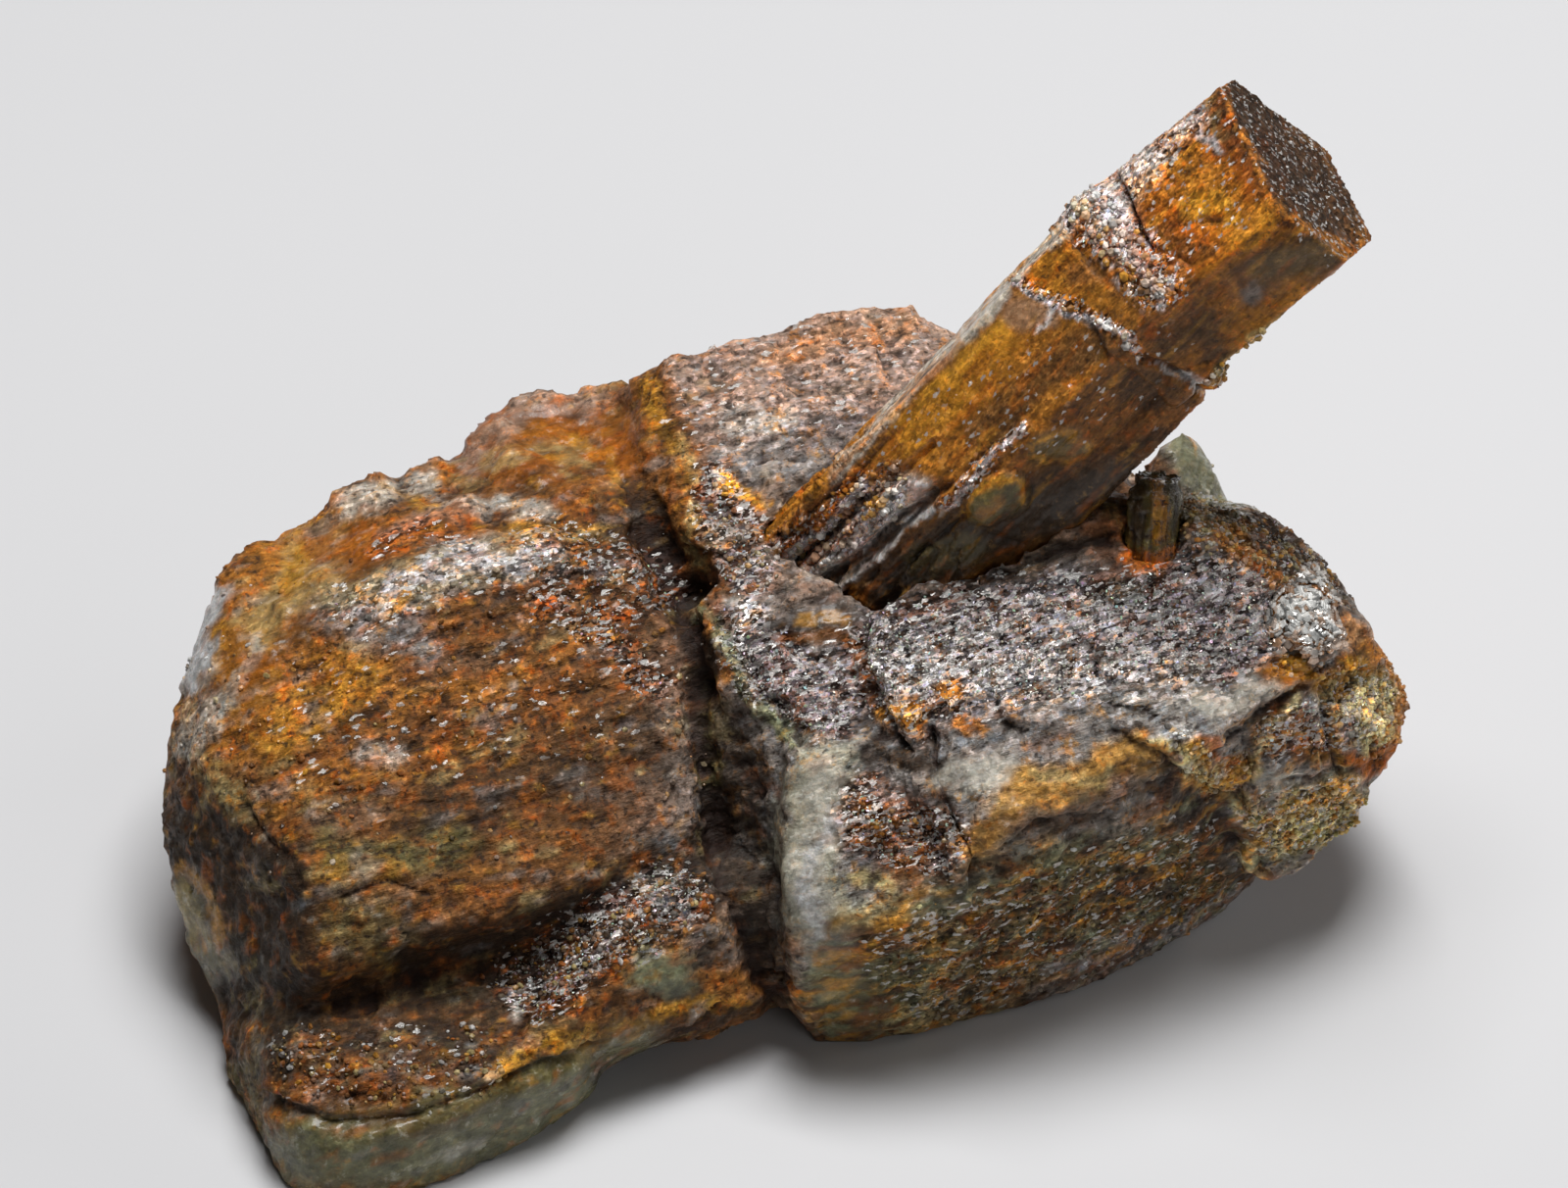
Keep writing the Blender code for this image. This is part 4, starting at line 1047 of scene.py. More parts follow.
MINERALS.update({
    "amber": (0.36, 0.145, 0.015),
    # Smoke colours the smoky beryl, and also the painted shade on the prism's underside.
    "smoke_and_shade": (0.060, 0.040, 0.025),
})
BERYL_STAINS_AND_SHADE = (
    ("whole prism", "amber", 1.0, 900, (900, 560), (1300, 180)),
    ("lower length", "rust", 0.7, 130, (900, 540), (1180, 380)),
    ("golden window", "gold", 0.95, 34, (935, 445), (975, 385), (1010, 345)),
    ("golden glow", "orange", 0.6, 56, (920, 480), (980, 430), (1040, 370)),
    ("tan window", "pink", 0.5, 22, (1030, 315), (1070, 320)),
    ("brown middle", "brown", 0.75, 34, (1010, 440), (1060, 400), (1120, 350)),
    ("orange streak", "orange", 0.7, 16, (1050, 430), (1090, 400), (1125, 375)),
    ("brown by the crack", "brown", 0.85, 30, (1160, 395), (1210, 400)),
    ("olive oval", "olive", 0.7, 22, (1066, 460), (1100, 456)),
    ("oval rim", "gold", 0.6, 4, (1053, 460), (1070, 446), (1100, 444), (1114, 458), (1098, 474),
     (1068, 476), (1053, 460)),
    ("orange brown streaks", "rust", 0.7, 22, (1090, 490), (1150, 450), (1220, 420)),
    # Painted shade: the prism's underside faces down, away from the light, and is painted near black.
    ("underside", "smoke_and_shade", 1.0, 55, (915, 600), (980, 550), (1060, 520), (1150, 500)),
    ("underside edge", "smoke_and_shade", 0.8, 24, (1120, 500), (1190, 450)),
    ("underside glass", "olive", 0.5, 26, (940, 575), (990, 560)),
    ("foot", "rust", 0.7, 44, (800, 570), (860, 530), (900, 500)),
    ("foot tan", "frost", 0.6, 30, (810, 590), (870, 535), (930, 500)),
    ("foot silver", "silver", 0.9, 16, (826, 600), (880, 545), (935, 500)),
    ("foot second silver", "silver", 0.9, 7, (795, 580), (850, 524), (885, 492)),
    ("foot third silver", "silver", 0.9, 7, (850, 606), (905, 552), (945, 516)),
    ("foot rust", "ember", 0.8, 6, (790, 572), (840, 520), (880, 478)),
    ("foot second rust", "ember", 0.7, 5, (812, 592), (868, 536), (910, 498)),
    ("foot plates", "umber_and_shade", 0.8, 4, (838, 604), (893, 549), (940, 508)),
    ("foot second plates", "umber_and_shade", 0.7, 4, (802, 586), (858, 530), (895, 500)),
    ("left sliver", "rust", 0.8, 13, (790, 560), (870, 470), (960, 370), (1040, 285)),
    ("left sliver pale", "frost", 0.85, 11, (850, 485), (960, 360), (1030, 290), (1090, 225)),
    ("left sliver orange", "orange", 0.6, 5, (830, 505), (900, 430), (980, 345)),
    ("yellow flake", "gold", 1.0, 8, (886, 525), (900, 508)),
    ("white flake", "silver", 1.0, 5, (878, 527), (884, 520)),
    ("amber grain", "olive", 0.9, 24, (1000, 515), (1030, 500)),
    ("grain rim", "gold", 0.7, 5, (983, 522), (995, 497), (1020, 487), (1044, 495), (1040, 512)),
    ("grain heart", "orange", 0.5, 9, (1000, 522), (1018, 508)),
    ("grain ridge", "silver", 0.7, 4, (956, 522), (1000, 480), (1045, 435)),
    ("crust", "silver", 1.0, 38, (1100, 205), (1130, 215), (1150, 245)),
    ("crust rust", "rust", 0.9, 22, (1095, 285), (1130, 275), (1140, 290)),
    ("crust straw", "straw", 0.7, 12, (1105, 215), (1118, 232)),
    ("crust edge", "silver", 0.9, 6, (1142, 213), (1168, 245), (1188, 281), (1184, 318)),
    ("crust amber", "gold", 0.7, 9, (1130, 235), (1145, 242)),
    ("crust dark", "brown", 0.8, 16, (1160, 300), (1180, 285)),
    ("crust tongue", "silver", 0.85, 14, (1145, 245), (1165, 270), (1185, 295)),
    ("white vein", "silver", 0.9, 4, (1036, 288), (1056, 300), (1076, 309)),
    ("second white vein", "silver", 0.9, 5, (1082, 313), (1108, 325), (1132, 334)),
    ("third white vein", "silver", 0.8, 4, (1136, 338), (1150, 350), (1158, 362)),
    ("vein branch", "silver", 0.7, 4, (1076, 309), (1072, 322), (1064, 338)),
    ("crack vein", "silver", 0.8, 4, (1184, 370), (1206, 382), (1228, 397)),
    ("head", "ember", 1.0, 64, (1190, 240), (1250, 200), (1270, 170)),
    ("head glow", "gold", 0.45, 34, (1220, 190), (1260, 230), (1290, 225)),
    ("head orange", "orange", 0.7, 26, (1190, 190), (1240, 180), (1260, 220)),
    ("head gold", "gold", 0.9, 16, (1215, 215), (1240, 205), (1250, 220)),
    ("head frost", "frost", 0.8, 28, (1150, 185), (1180, 150), (1215, 120)),
    ("head straw", "gold", 0.5, 14, (1160, 190), (1190, 165), (1215, 140)),
    ("head flakes", "silver", 0.8, 6, (1228, 140), (1240, 146), (1248, 156)),
    ("head corner", "orange", 0.5, 14, (1180, 140), (1240, 90)),
    ("head corner straw", "straw", 0.5, 10, (1235, 110), (1250, 140)),
    ("head red", "rust", 0.7, 14, (1170, 230), (1200, 250), (1230, 260)),
    ("head lower", "rust", 0.8, 24, (1200, 280), (1230, 310), (1210, 330)),
    ("head brown", "brown", 0.9, 20, (1190, 350), (1230, 330), (1240, 370)),
    ("head right face", "rust", 1.0, 34, (1270, 290), (1330, 250), (1370, 265)),
    ("head right brown", "olive", 0.5, 24, (1290, 275), (1350, 255)),
    ("grey oval", "grey", 0.6, 13, (1275, 303), (1280, 298)),
    ("head right rim", "orange", 0.6, 5, (1258, 292), (1268, 322), (1300, 318)),
    ("lower edge", "straw", 0.7, 10, (1240, 385), (1290, 340), (1385, 275)),
    ("head edge", "orange", 0.8, 7, (1305, 222), (1345, 240), (1380, 268)),
    ("end face", "umber_and_shade", 0.95, 60, (1275, 110), (1310, 160), (1360, 210)),
    ("end face grey", "brown", 0.35, 34, (1330, 140), (1370, 190), (1380, 240)),
    ("end rim", "orange", 0.6, 7, (1250, 90), (1270, 140), (1300, 210), (1385, 260)),
)
BERYL_GLITTER = (
    ("end face", 0.33, 60, (1275, 110), (1320, 160), (1370, 220)),
    ("crust", 1.0, 40, (1100, 210), (1150, 250), (1180, 290)),
    ("head frost", 0.8, 34, (1155, 180), (1215, 120)),
    ("white vein", 0.9, 9, (1035, 285), (1130, 330), (1165, 365)),
    ("foot", 1.0, 36, (800, 575), (900, 500)),
    ("grain ridge", 0.9, 10, (960, 512), (1000, 480), (1045, 435)),
    ("head", 0.2, 60, (1190, 240), (1270, 170)),
    ("lower edge", 0.8, 10, (1240, 385), (1385, 275)),
    ("lower length", 0.1, 90, (950, 450), (1150, 380)),
)
BERYL_GLASS = (
    ("golden window", 1.0, 50, (920, 480), (975, 400), (1030, 330)),
    ("middle", 0.5, 50, (1010, 440), (1120, 380)),
    ("underside", 0.9, 44, (915, 600), (1060, 530), (1150, 500)),
    ("amber grain", 1.0, 26, (1000, 515), (1030, 500)),
    ("olive oval", 1.0, 20, (1060, 455), (1100, 450)),
    ("head right face", 0.8, 34, (1270, 290), (1350, 260)),
    ("head glow", 0.5, 44, (1190, 240), (1260, 190)),
    ("whole length", 0.4, 120, (900, 540), (1240, 300)),
)
# The frosted join, where rusty grains show between the white ones.
BERYL_CRUST = (
    ("crust", 1.0, 44, (1100, 210), (1130, 240), (1185, 290)),
    ("head frost", 0.7, 30, (1155, 180), (1215, 120)),
    ("foot", 0.5, 40, (800, 575), (900, 500)),
)
CRUST_PATCHES = (("ember", 0.8, 0.8), ("gold", 0.6, 1.0), ("umber_and_shade", 0.7, 1.5), ("silver", 0.8, 0.9))
LENGTH_PATCHES = (("ember", 0.6, 0.7), ("umber_and_shade", 0.55, 1.2), ("gold", 0.4, 1.1))
BERYL_CUTS = (
    ("healed crack", 0.55, 7, (1165, 365), (1190, 372), (1215, 387), (1238, 402)),
    ("crack above the crust", 0.4, 6, (1150, 200), (1160, 235), (1185, 262)),
    ("crack under the head", 0.35, 5, (1185, 255), (1215, 270), (1235, 262)),
    ("dark pit", 0.5, 8, (1228, 226), (1240, 226)),
    ("end crack", 0.5, 5, (1345, 185), (1360, 210), (1385, 245)),
    ("splinter gap", 0.8, 7, (800, 585), (860, 535), (905, 495), (950, 455)),
    ("second splinter gap", 0.8, 7, (830, 600), (890, 550), (950, 505)),
    ("underside seam", 0.5, 5, (905, 600), (950, 555), (990, 520)),
    ("inclusion", 0.2, 4, (1012, 410), (1028, 392)),
    ("second inclusion", 0.2, 4, (1045, 362), (1055, 350)),
    ("lower face crack", 0.25, 4, (985, 515), (1010, 545), (1045, 555)),
)
BERYL_STEPS = (
    ("splinter step", 0.8, 22, (905, 490), (850, 545), (795, 592)),
    ("second splinter step", 0.7, 20, (960, 505), (900, 560), (850, 605)),
    ("join step", 0.5, 24, (1140, 175), (1152, 200), (1172, 245)),
)
BERYL_SWELLINGS = (
    ("crust", 0.30, 34, (1108, 205), (1130, 235), (1160, 268), (1185, 295)),
    ("white vein", 0.06, 5, (1035, 285), (1075, 310), (1130, 330), (1165, 365)),
    ("lower side", 0.8, 46, (1120, 530), (1180, 470), (1230, 416)),
    ("amber grain", 0.9, 24, (1005, 512), (1028, 502)),
    ("olive oval", 0.35, 22, (1070, 455), (1095, 450)),
    ("grain ridge", 0.5, 8, (960, 512), (1000, 480), (1045, 435)),
    ("yellow flake", 0.4, 7, (886, 525), (900, 508)),
    ("lower edge crust", 0.35, 10, (1240, 385), (1290, 345), (1385, 275)),
)


def domed(away):
    """A round dome, from 1 on its line to 0 at its reach."""
    return np.sqrt(np.clip(1 - away ** 2, 0, 1))


def grown_prism(piece):
    """Draws out the prism's long striations, splinters its foot and crusts its join."""
    mesh = piece.data
    places, outwards = places_of(mesh)
    seen = seen_by_eye(mesh)
    spots = in_picture(places)
    end = eased((outwards @ np.array(HEAD_WAY) - 0.55) / 0.3)
    foot = eased(1.4 - ((places - np.array(BERYL_ROOT)) @ np.array(BERYL_WAY)) / (14 * MM))
    glittering = covered(spots, BERYL_GLITTER) * seen

    ribs = 0.10 * cloudy(along_grain(places, BERYL_GRAIN, (16, 0.75, 0.75)), 1.0, 3)
    steps = cloudy(along_grain(places, BERYL_GRAIN, (11, 2.6, 2.6)), 1.0, 2)
    terraces = 0.14 * np.round(2.5 * steps) / 2.5
    splinters = 0.85 * foot * chipped(along_grain(places, BERYL_GRAIN, (9, 1.3, 1.3)), 1.0)
    needles = 0.35 * foot * chipped(along_grain(places, BERYL_GRAIN, (12, 0.6, 0.6)), 1.0)
    height = (1 - end) * (ribs + terraces + splinters + needles)
    height += 0.05 * cloudy(places, 0.6 * MM, 3) + 0.16 * cloudy(places, 4 * MM, 3)
    height += 0.16 * end * chipped(along_grain(places, BERYL_GRAIN, (2, 1.6, 0.7)), 1.0)
    height += 0.14 * np.maximum(end * 0.4, glittering) * chipped(places, 0.8 * MM)

    ragged = patchy(spots, places, 1.2)
    height -= seen * marked(ragged, BERYL_CUTS, notched)
    height += seen * marked(ragged, BERYL_SWELLINGS, domed)
    height -= seen * stepped(ragged, BERYL_STEPS)
    places += outwards * (height * MM)[:, None]
    set_places(mesh, places)
    return seen, end


def painted_prism(piece, seen, end):
    """Lays the stains, the painted shade of the underside, the glitter and the glassy places on the prism.
    """
    mesh = piece.data
    places, outwards = places_of(mesh)
    links = links_of(mesh)
    spots = patchy(in_picture(places), places, 5.0)
    length = 1 - end[:, None]

    bands = cloudy(along_grain(places, BERYL_GRAIN, (12, 1.6, 1.6)), 1.0, 4)
    ground = eased(bands * 1.3 + 0.5)[:, None] * (mineral("amber") - mineral("brown")) + mineral("brown")
    veils = eased(cloudy(places + 0.3, 6 * MM, 3) * 3 - 0.3)[:, None]
    ground += veils * 0.8 * (mineral("gold") - ground)
    ground += (1 - length) * 0.7 * (mineral("brown") - ground)
    stain = carried_round(stained(spots, BERYL_STAINS_AND_SHADE, ground), seen, links, 40, ground)
    crust = covered(spots, BERYL_CRUST)[:, None]
    stain = mottled(stain, places / (1.3 * MM), CRUST_PATCHES, crust)
    small = along_grain(places, BERYL_GRAIN, (6, 1.2, 1.2))
    stain = mottled(stain, small, LENGTH_PATCHES, 0.8 * length)
    stain *= 0.77 + 0.35 * length
    add_attribute(mesh, "stain", stain)
    glitter = carried_round(covered(spots, BERYL_GLITTER), seen, links, 40, 0.1 + 0.5 * end)
    add_attribute(mesh, "glitter", glitter)
    glass = carried_round(covered(spots, BERYL_GLASS), seen, links, 40, 0.5 * (1 - end))
    add_attribute(mesh, "glass", glass)
    add_attribute(mesh, "hollow", hollow_of(places, outwards, links, 12, 0.25 * MM))


beryl = fine_copy("beryl_crystal", "beryl_prism", BERYL_GRID)
beryl_seen, beryl_end = grown_prism(beryl)
painted_prism(beryl, beryl_seen, beryl_end)
beryl.data.materials.append(stone_material(
    "stained_beryl", BERYL_GRAIN, (4, 0.8, 0.8), (0.45, 0.25, 0.25), 0.15, BERYL_MILK))
beryl.data.shade_smooth()
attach(beryl, "root")
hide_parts("beryl_crystal")

# The side crystal. A short stub of clear, smoky yellow beryl that stands on the
# matrix beside the prism and half under it, ribbed from end to end.
SIDE_GRID = 0.2 * MM
SIDE_WAY = Vector((0.9, 6.2, 9.3)).normalized()
SIDE_ACROSS = SIDE_WAY.cross(RIGHTWARDS).normalized()
SIDE_GRAIN = Matrix((SIDE_WAY, SIDE_ACROSS, SIDE_WAY.cross(SIDE_ACROSS)))
SIDE_TOP = 5.6 * MM
BERYL_IOR = 1.58
SIDE_STAINS = (
    ("whole stub", "olive", 1.0, 200, (1140, 520), (1190, 510)),
    ("yellow side", "amber", 0.8, 13, (1180, 500), (1184, 545)),
    ("yellow rib", "gold", 0.7, 5, (1178, 510), (1180, 545)),
    ("second yellow rib", "gold", 0.6, 4, (1189, 520), (1190, 548)),
    ("smoky side", "smoke_and_shade", 0.9, 12, (1158, 490), (1160, 545)),
    ("smoky rib", "smoke_and_shade", 0.8, 5, (1197, 480), (1200, 540)),
    ("smoky top", "smoke_and_shade", 0.7, 10, (1160, 480), (1200, 482)),
    ("orange foot", "ember", 0.9, 12, (1150, 566), (1175, 572), (1200, 562)),
)


def ribbed_stub(piece):
    """Ribs the side crystal lengthwise, hollows its top and lays its stains."""
    mesh = piece.data
    places, outwards = places_of(mesh)
    links = links_of(mesh)
    seen = seen_by_eye(mesh)
    ribs = 0.26 * cloudy(along_grain(places, SIDE_GRAIN, (9, 0.5, 0.5)), 1.0, 3)
    chips = 0.24 * chipped(places, 1.4 * MM) + 0.06 * cloudy(places, 0.5 * MM, 2)
    from_top = (places - places.mean(0)) @ np.array(SIDE_WAY) - SIDE_TOP
    hollow = 0.5 * eased(2.2 - np.abs(from_top) / (0.8 * MM))
    places += outwards * ((ribs + chips - hollow) * MM)[:, None]
    set_places(mesh, places)
    spots = patchy(in_picture(places), places, 3.0)
    ground = np.tile(mineral("olive"), (len(places), 1))
    stain = stained(spots, SIDE_STAINS, ground)
    add_attribute(mesh, "stain", carried_round(stain, seen, links, 20, ground))
    add_attribute(mesh, "hollow", hollow_of(places, outwards, links, 8, 0.2 * MM))


def clear_material():
    """Smoky yellow beryl that light passes through, streaked along its ribs."""
    material, tree, surface, where = new_material("smoky_beryl")
    pale_dye = (1.1, 1.05, 0.9, 1)
    streaks = place(tree, "ShaderNodeGroup", {
        "Colour": attribute_of(tree, "stain", "Color"),
        "Grain place": grain_mapping(tree, where, SIDE_GRAIN, (5, 0.45, 0.45)),
        "Place": where,
        "Hollow": attribute_of(tree, "hollow"),
        "Grey share": 0.1,
    }, node_tree=IRON_STREAKS).outputs
    fill_in(tree, surface, {
        "Base Color": dyed(tree, streaks["Colour"], pale_dye),
        "Normal": bumped(tree, streaks["Height"], 0.4, 0.2 * MM),
        "Transmission Weight": 0.5,
        "IOR": BERYL_IOR,
        "Roughness": 0.16,
    })
    return material


side = fine_copy("side_beryl", "side_crystal", SIDE_GRID)
ribbed_stub(side)
side.data.materials.append(clear_material())
side.data.shade_smooth()
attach(side, "root")
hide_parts("side_beryl")

# The mica rosette. A button of silvery mica plates, stacked and fanned round its
# middle, that grew on the right end of the matrix; its rim is stained orange.
ROSETTE_GRID = 0.25 * MM
ROSETTE_WAY = Vector((0.12, -0.636, 0.778)).normalized()
ROSETTE_REACH = 3.7 * MM
ROSETTE_PLATES = 520
ROSETTE_SEED = 11
CORE_SINKS = 0.65 * MM
PLATE_SIDES = 5
PLATE_VERTICES = 2 * PLATE_SIDES
SHAPES_AT_ONCE = 40


def add_plate(shell, stand):
    """A thin five-sided plate."""
    bmesh.ops.create_cone(shell, cap_ends=True, segments=PLATE_SIDES,
                          radius1=1.0, radius2=0.86, depth=1.0, matrix=stand)


def joined_mesh(name, add_shape, stands, colours, vertices_each):
    """A mesh of many small shapes, each with its own place and its own stain."""
    whole = bmesh.new()
    for start in range(0, len(stands), SHAPES_AT_ONCE):
        some = bmesh.new()
        for stand in stands[start:start + SHAPES_AT_ONCE]:
            add_shape(some, stand)
        part = bpy.data.meshes.new("part")
        some.to_mesh(part)
        some.free()
        whole.from_mesh(part)
        bpy.data.meshes.remove(part)
    mesh = bpy.data.meshes.new(name)
    whole.to_mesh(mesh)
    whole.free()
    add_attribute(mesh, "stain", np.repeat(np.array(colours), vertices_each, axis=0))
    return mesh


def stand_shape(middle, facing, turn, long, wide, thick):
    """The matrix that sets a shape at its middle, facing a way and turned about it."""
    way = facing.to_track_quat("Z", "Y").to_matrix().to_4x4()
    size = Matrix.Diagonal((long, wide, thick, 1))
    return Matrix.Translation(middle) @ way @ Matrix.Rotation(turn, 4, "Z") @ size


def clouded(tree, where, scale, detail, darkest, lightest):
    """The piece's own stain, clouded from dark to light, and the clouds themselves."""
    clouds = noise_at(tree, where, scale, detail)[0]
    shade = spread(tree, clouds, 0.35, 0.65, darkest, lightest)
    return dyed(tree, attribute_of(tree, "stain", "Color"), shade), clouds


def plate_material(name, cleavage_height):
    """Mica in plates: silver to smoky, with a pearly sheen and fine cleavage lines."""
    material, tree, surface, where = new_material(name)
    colour, clouds = clouded(tree, where, 900.0, 5.0, 0.6, 1.4)
    lines = {"Vector": where, "Scale": 1200.0, "Distortion": 6.0, "Detail": 3.0}
    cleavage = place(tree, "ShaderNodeTexWave", lines).outputs["Fac"]
    fill_in(tree, surface, {
        "Base Color": colour,
        "Roughness": spread(tree, clouds, 0.3, 0.7, 0.16, 0.36),
        "Normal": bumped(tree, cleavage, 0.25, cleavage_height),
        "Metallic": 0.3,
        "Specular IOR Level": 0.8,
    })
    return material


def rosette_plates():
    """The places of the rosette's plates, and the colour of each."""
    chance = random.Random(ROSETTE_SEED)
    low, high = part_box("mica_rosette")
    middle = (low + high) / 2 - ROSETTE_WAY * MM
    across = ROSETTE_WAY.cross(RIGHTWARDS).normalized()
    stands, colours = [], []
    for _ in range(ROSETTE_PLATES):
        out = math.sqrt(chance.random())
        turn = chance.uniform(0, math.tau)
        sideways = across * math.cos(turn) + across.cross(ROSETTE_WAY) * math.sin(turn)
        rise = 1.15 + 0.95 * math.sqrt(1 - out * out) - 0.3 * chance.random()
        lobes = 1 + 0.16 * math.sin(3 * turn + 0.8) + 0.10 * math.sin(7 * turn)
        spot = middle + sideways * out * lobes * ROSETTE_REACH + ROSETTE_WAY * rise * MM
        facing = ROSETTE_WAY + sideways * out * 1.1
        facing += Vector([chance.uniform(-0.7, 0.7) for _ in range(3)])
        radius = chance.uniform(0.22, 0.62) * MM
        stands.append(stand_shape(spot, facing.normalized(), turn, radius,
                                  radius * chance.uniform(0.6, 1), chance.uniform(0.08, 0.22) * MM))
        silver = Vector(MINERALS["silver"]) * chance.choice((0.5, 1.0, 1.3, 1.5, 1.6))
        rim = max(0, out - 0.7) * 2.2 * (1 if sideways.z < 0.2 else 0.3)
        rim += 0.5 * (chance.random() < 0.15)
        colours.append(silver.lerp(Vector(MINERALS["orange"]), min(0.85, rim)))
    return stands, colours


rosette = fine_copy("mica_rosette", "mica_button", ROSETTE_GRID)
core_places, core_outwards = places_of(rosette.data)
core_rise = 0.25 * MM * chipped(core_places, 0.9 * MM) - CORE_SINKS
core_places += core_outwards * core_rise[:, None]
set_places(rosette.data, core_places)
add_attribute(rosette.data, "stain", np.tile(mineral("rust"), (len(core_places), 1)))
rosette_shell = bmesh.new()
rosette_shell.from_mesh(rosette.data)
rosette_shell.from_mesh(joined_mesh("leaves", add_plate, *rosette_plates(), PLATE_VERTICES))
rosette_shell.to_mesh(rosette.data)
rosette_shell.free()
rosette.data.materials.append(plate_material("silver_mica", 0.05 * MM))
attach(rosette, "root")
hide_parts("mica_rosette")

# The loose flakes. Small plates of mica that lie in the broken faces of the matrix
# and in the crust of the prism, at all angles, and flash where they face the light.
FLAKES_SEED = 5
MATRIX_FLAKES = 11000
BERYL_FLAKES = 2200
FLAKES_ABOVE = 2 * MM


def glitter_of(mesh):
    """How strongly each vertex glitters."""
    glitter = np.empty(len(mesh.vertices), np.float32)
    mesh.attributes["glitter"].data.foreach_get("value", glitter)
    return glitter


def stain_of(mesh):
    """The stain at each vertex."""
    stain = np.empty(len(mesh.vertices) * 4, np.float32)
    mesh.attributes["stain"].data.foreach_get("color", stain)
    return stain.reshape(-1, 4)[:, :3]


def scattered_flakes(name, piece, count, smallest, largest, seed):
    """Plates sunk in a piece's skin, more of them where its glitter is stronger."""
    chance = random.Random(seed)
    places, outwards = places_of(piece.data)
    stain = stain_of(piece.data)
    weights = np.clip(glitter_of(piece.data) - 0.3, 0, 1) ** 1.2 * (places[:, 2] > FLAKES_ABOVE)
    stands, colours = [], []
    for i in chance.choices(range(len(places)), weights.tolist(), k=count):
        lean = Vector([chance.uniform(-0.9, 0.9) for _ in range(3)])
        facing = (Vector(outwards[i]) + lean).normalized()
        radius = chance.uniform(smallest, largest)
        stands.append(stand_shape(Vector(places[i]), facing, chance.uniform(0, math.tau), radius,
                                  radius * chance.uniform(0.45, 1), radius * chance.uniform(0.15, 0.4)))
        share = 0.9 if chance.random() < 0.22 else 0.2 * chance.random()
        silver = Vector([part * chance.uniform(0.8, 1.4) for part in MINERALS["silver"]])
        colours.append((Vector(stain[i]) * chance.uniform(0.4, 1.7)).lerp(silver, share))
    mesh = joined_mesh(name, add_plate, stands, colours, PLATE_VERTICES)
    mesh.materials.append(FLAKE_MICA)
    flakes = bpy.data.objects.new(name, mesh)
    bpy.context.scene.collection.objects.link(flakes)
    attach(flakes, "root")


FLAKE_MICA = plate_material("flake_mica", 0.03 * MM)
scattered_flakes("matrix_flakes", matrix, MATRIX_FLAKES, 0.06 * MM, 0.20 * MM, FLAKES_SEED)
scattered_flakes("prism_flakes", beryl, BERYL_FLAKES, 0.05 * MM, 0.15 * MM, FLAKES_SEED + 1)

# The grains. Small broken grains of quartz, feldspar and iron oxide that crumble out
# of the right end and the ledge, and crust the prism's lower edge and its join.
GRAINS_SEED = 8
MATRIX_GRAINS = 5200
BERYL_GRAINS = 1500
GRAIN_VERTICES = 12
GRAINS_ABOVE = 1.5 * MM
GRAIN_MINERALS = ("straw", "gold", "silver", "orange", "ember", "umber_and_shade")
MATRIX_GRAIN_PLACES = (
    ("right grains", 1.0, 34, (1375, 700), (1405, 720), (1400, 745)),
    ("granular fillet", 1.0, 20, (1205, 750), (1240, 800), (1265, 780)),
    ("yellow green facet", 1.0, 40, (1300, 840), (1370, 830)),
    ("right rim", 0.9, 14, (1410, 680), (1440, 710), (1425, 750)),
    ("rear slope", 0.9, 36, (1215, 530), (1290, 560), (1350, 600)),
    ("ledge", 0.6, 46, (310, 1080), (400, 1100), (480, 1080)),
    ("ledge plum", 0.5, 40, (520, 1000), (700, 920)),
    ("under the rosette", 0.8, 16, (1310, 680), (1380, 690)),
    ("block foot", 0.6, 34, (730, 520), (770, 580)),
    ("left mass", 0.05, 200, (330, 720), (600, 700)),
    ("front", 0.3, 80, (960, 980), (1180, 910)),
    ("tier", 0.5, 30, (880, 830), (940, 850)),
)
BERYL_GRAIN_PLACES = (
    ("lower edge", 1.0, 12, (1240, 388), (1290, 350), (1388, 278)),
    ("crust", 0.35, 26, (1110, 215), (1150, 255), (1180, 290)),
    ("white vein", 0.2, 5, (1035, 285), (1075, 310), (1130, 330), (1165, 365)),
    ("foot", 0.25, 36, (800, 575), (900, 500)),
)


def add_grain(shell, stand):
    """A rough lump of twenty faces."""
    bmesh.ops.create_icosphere(shell, subdivisions=1, radius=1.0, matrix=stand)


def grain_material():
    """A crumbly grain: clouded, half glassy, in the colour of the stone about it."""
    material, tree, surface, where = new_material("crumbly_grains")
    colour, clouds = clouded(tree, where, 1600.0, 4.0, 0.55, 1.45)
    fill_in(tree, surface, {
        "Base Color": colour,
        "Roughness": spread(tree, clouds, 0.3, 0.7, 0.2, 0.5),
        "Normal": bumped(tree, clouds, 0.4, 0.1 * MM),
    })
    return material


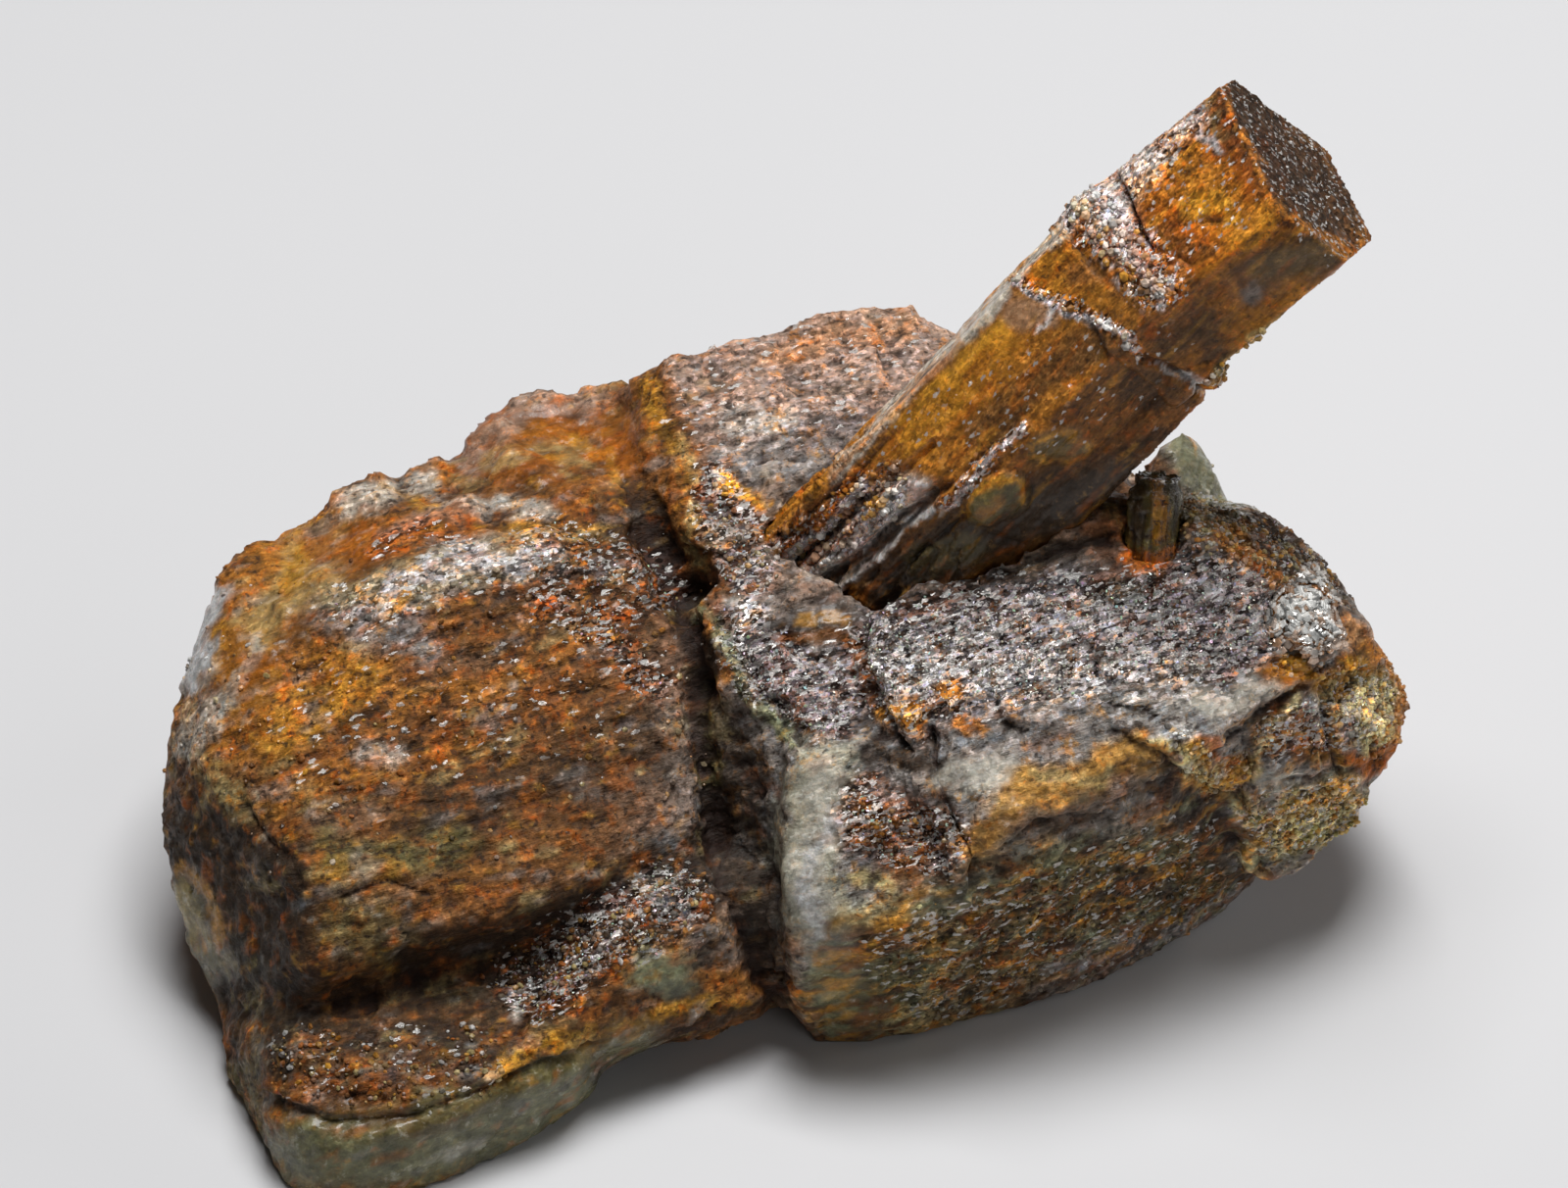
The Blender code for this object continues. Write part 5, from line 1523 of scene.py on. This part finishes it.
def scattered_grains(name, piece, seen, marks, elsewhere, count, smallest, largest, seed):
    """Grains sunk in a piece's skin where the marks say, a few of them elsewhere too."""
    chance = random.Random(seed)
    places, _ = places_of(piece.data)
    stain = stain_of(piece.data)
    patches = elsewhere * eased(cloudy(places + 0.6, 8 * MM, 3) * 3 - 0.3)
    weights = covered(in_picture(places), marks)
    weights = carried_round(weights, seen, links_of(piece.data), 20, patches)
    weights *= places[:, 2] > GRAINS_ABOVE
    stands, colours = [], []
    for i in chance.choices(range(len(places)), weights.tolist(), k=count):
        facing = Vector([chance.uniform(-1, 1) for _ in range(3)]).normalized()
        radius = smallest + (largest - smallest) * chance.random() ** 2
        stands.append(stand_shape(Vector(places[i]), facing, 0, radius,
                                  radius * chance.uniform(0.6, 1), radius * chance.uniform(0.5, 0.9)))
        paler = Vector(MINERALS[chance.choice(GRAIN_MINERALS)])
        own = Vector(stain[i]) * chance.uniform(0.6, 1.5)
        colours.append(own.lerp(paler, 0.8 * chance.random() ** 2))
    mesh = joined_mesh(name, add_grain, stands, colours, GRAIN_VERTICES)
    mesh.materials.append(CRUMBLY_GRAINS)
    grains = bpy.data.objects.new(name, mesh)
    bpy.context.scene.collection.objects.link(grains)
    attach(grains, "root")


CRUMBLY_GRAINS = grain_material()
scattered_grains("matrix_grains", matrix, matrix_seen, MATRIX_GRAIN_PLACES, 0.35,
                 MATRIX_GRAINS, 0.12 * MM, 0.42 * MM, GRAINS_SEED)
scattered_grains("prism_grains", beryl, beryl_seen, BERYL_GRAIN_PLACES, 0.08,
                 BERYL_GRAINS, 0.12 * MM, 0.55 * MM, GRAINS_SEED + 1)

# The stage. A pale floor, a broad soft light overhead and a little behind, a weak one
# that fills the near side, and a weak one from the right that draws out the edges.
FLOOR_REACH = 3.0
FLOOR_GREYS = ((0.60, 0.60, 0.61, 1), (0.64, 0.64, 0.65, 1))
SKY_COLOUR = (0.9, 0.88, 0.85, 1)
SKY_STRENGTH = 0.035

floor_shell = bmesh.new()
bmesh.ops.create_grid(floor_shell, x_segments=1, y_segments=1, size=FLOOR_REACH)
floor_mesh = bpy.data.meshes.new("floor")
floor_shell.to_mesh(floor_mesh)
floor_shell.free()
floor = bpy.data.objects.new("floor", floor_mesh)
bpy.context.scene.collection.objects.link(floor)
floor_material = bpy.data.materials.new("pale_floor")
floor_material.use_nodes = True
floor_tree = floor_material.node_tree
floor_clouds = place(floor_tree, "ShaderNodeTexNoise", {"Scale": 6.0, "Detail": 3.0}).outputs[0]
fill_in(floor_tree, floor_tree.nodes["Principled BSDF"], {
    "Base Color": blend(floor_tree, floor_clouds, *FLOOR_GREYS),
    "Roughness": 0.8,
})
floor_mesh.materials.append(floor_material)


def add_light(name, stands_at, size, power):
    """A soft square of light that faces the specimen: metres and watts."""
    light = bpy.data.lights.new(name, "AREA")
    light.shape = "RECTANGLE"
    light.size, light.size_y = size
    light.energy = power
    lamp = bpy.data.objects.new(name, light)
    lamp.location = stands_at
    lamp.rotation_euler = (MIDDLE_OF_VIEW - Vector(stands_at)).to_track_quat("-Z", "Y").to_euler()
    bpy.context.scene.collection.objects.link(lamp)


add_light("overhead", (0.04, 0.10, 0.66), (0.32, 0.28), 5.2)
add_light("near_fill", (0.35, -0.55, 0.42), (0.4, 0.4), 0.42)
add_light("right_rim", (0.60, 0.15, 0.30), (0.3, 0.3), 0.6)

world = bpy.data.worlds.new("studio")
world.use_nodes = True
sky = world.node_tree.nodes["Background"]
fill_in(world.node_tree, sky, {"Color": SKY_COLOUR, "Strength": SKY_STRENGTH})
bpy.context.scene.world = world
bpy.context.scene.view_settings.view_transform = "Standard"
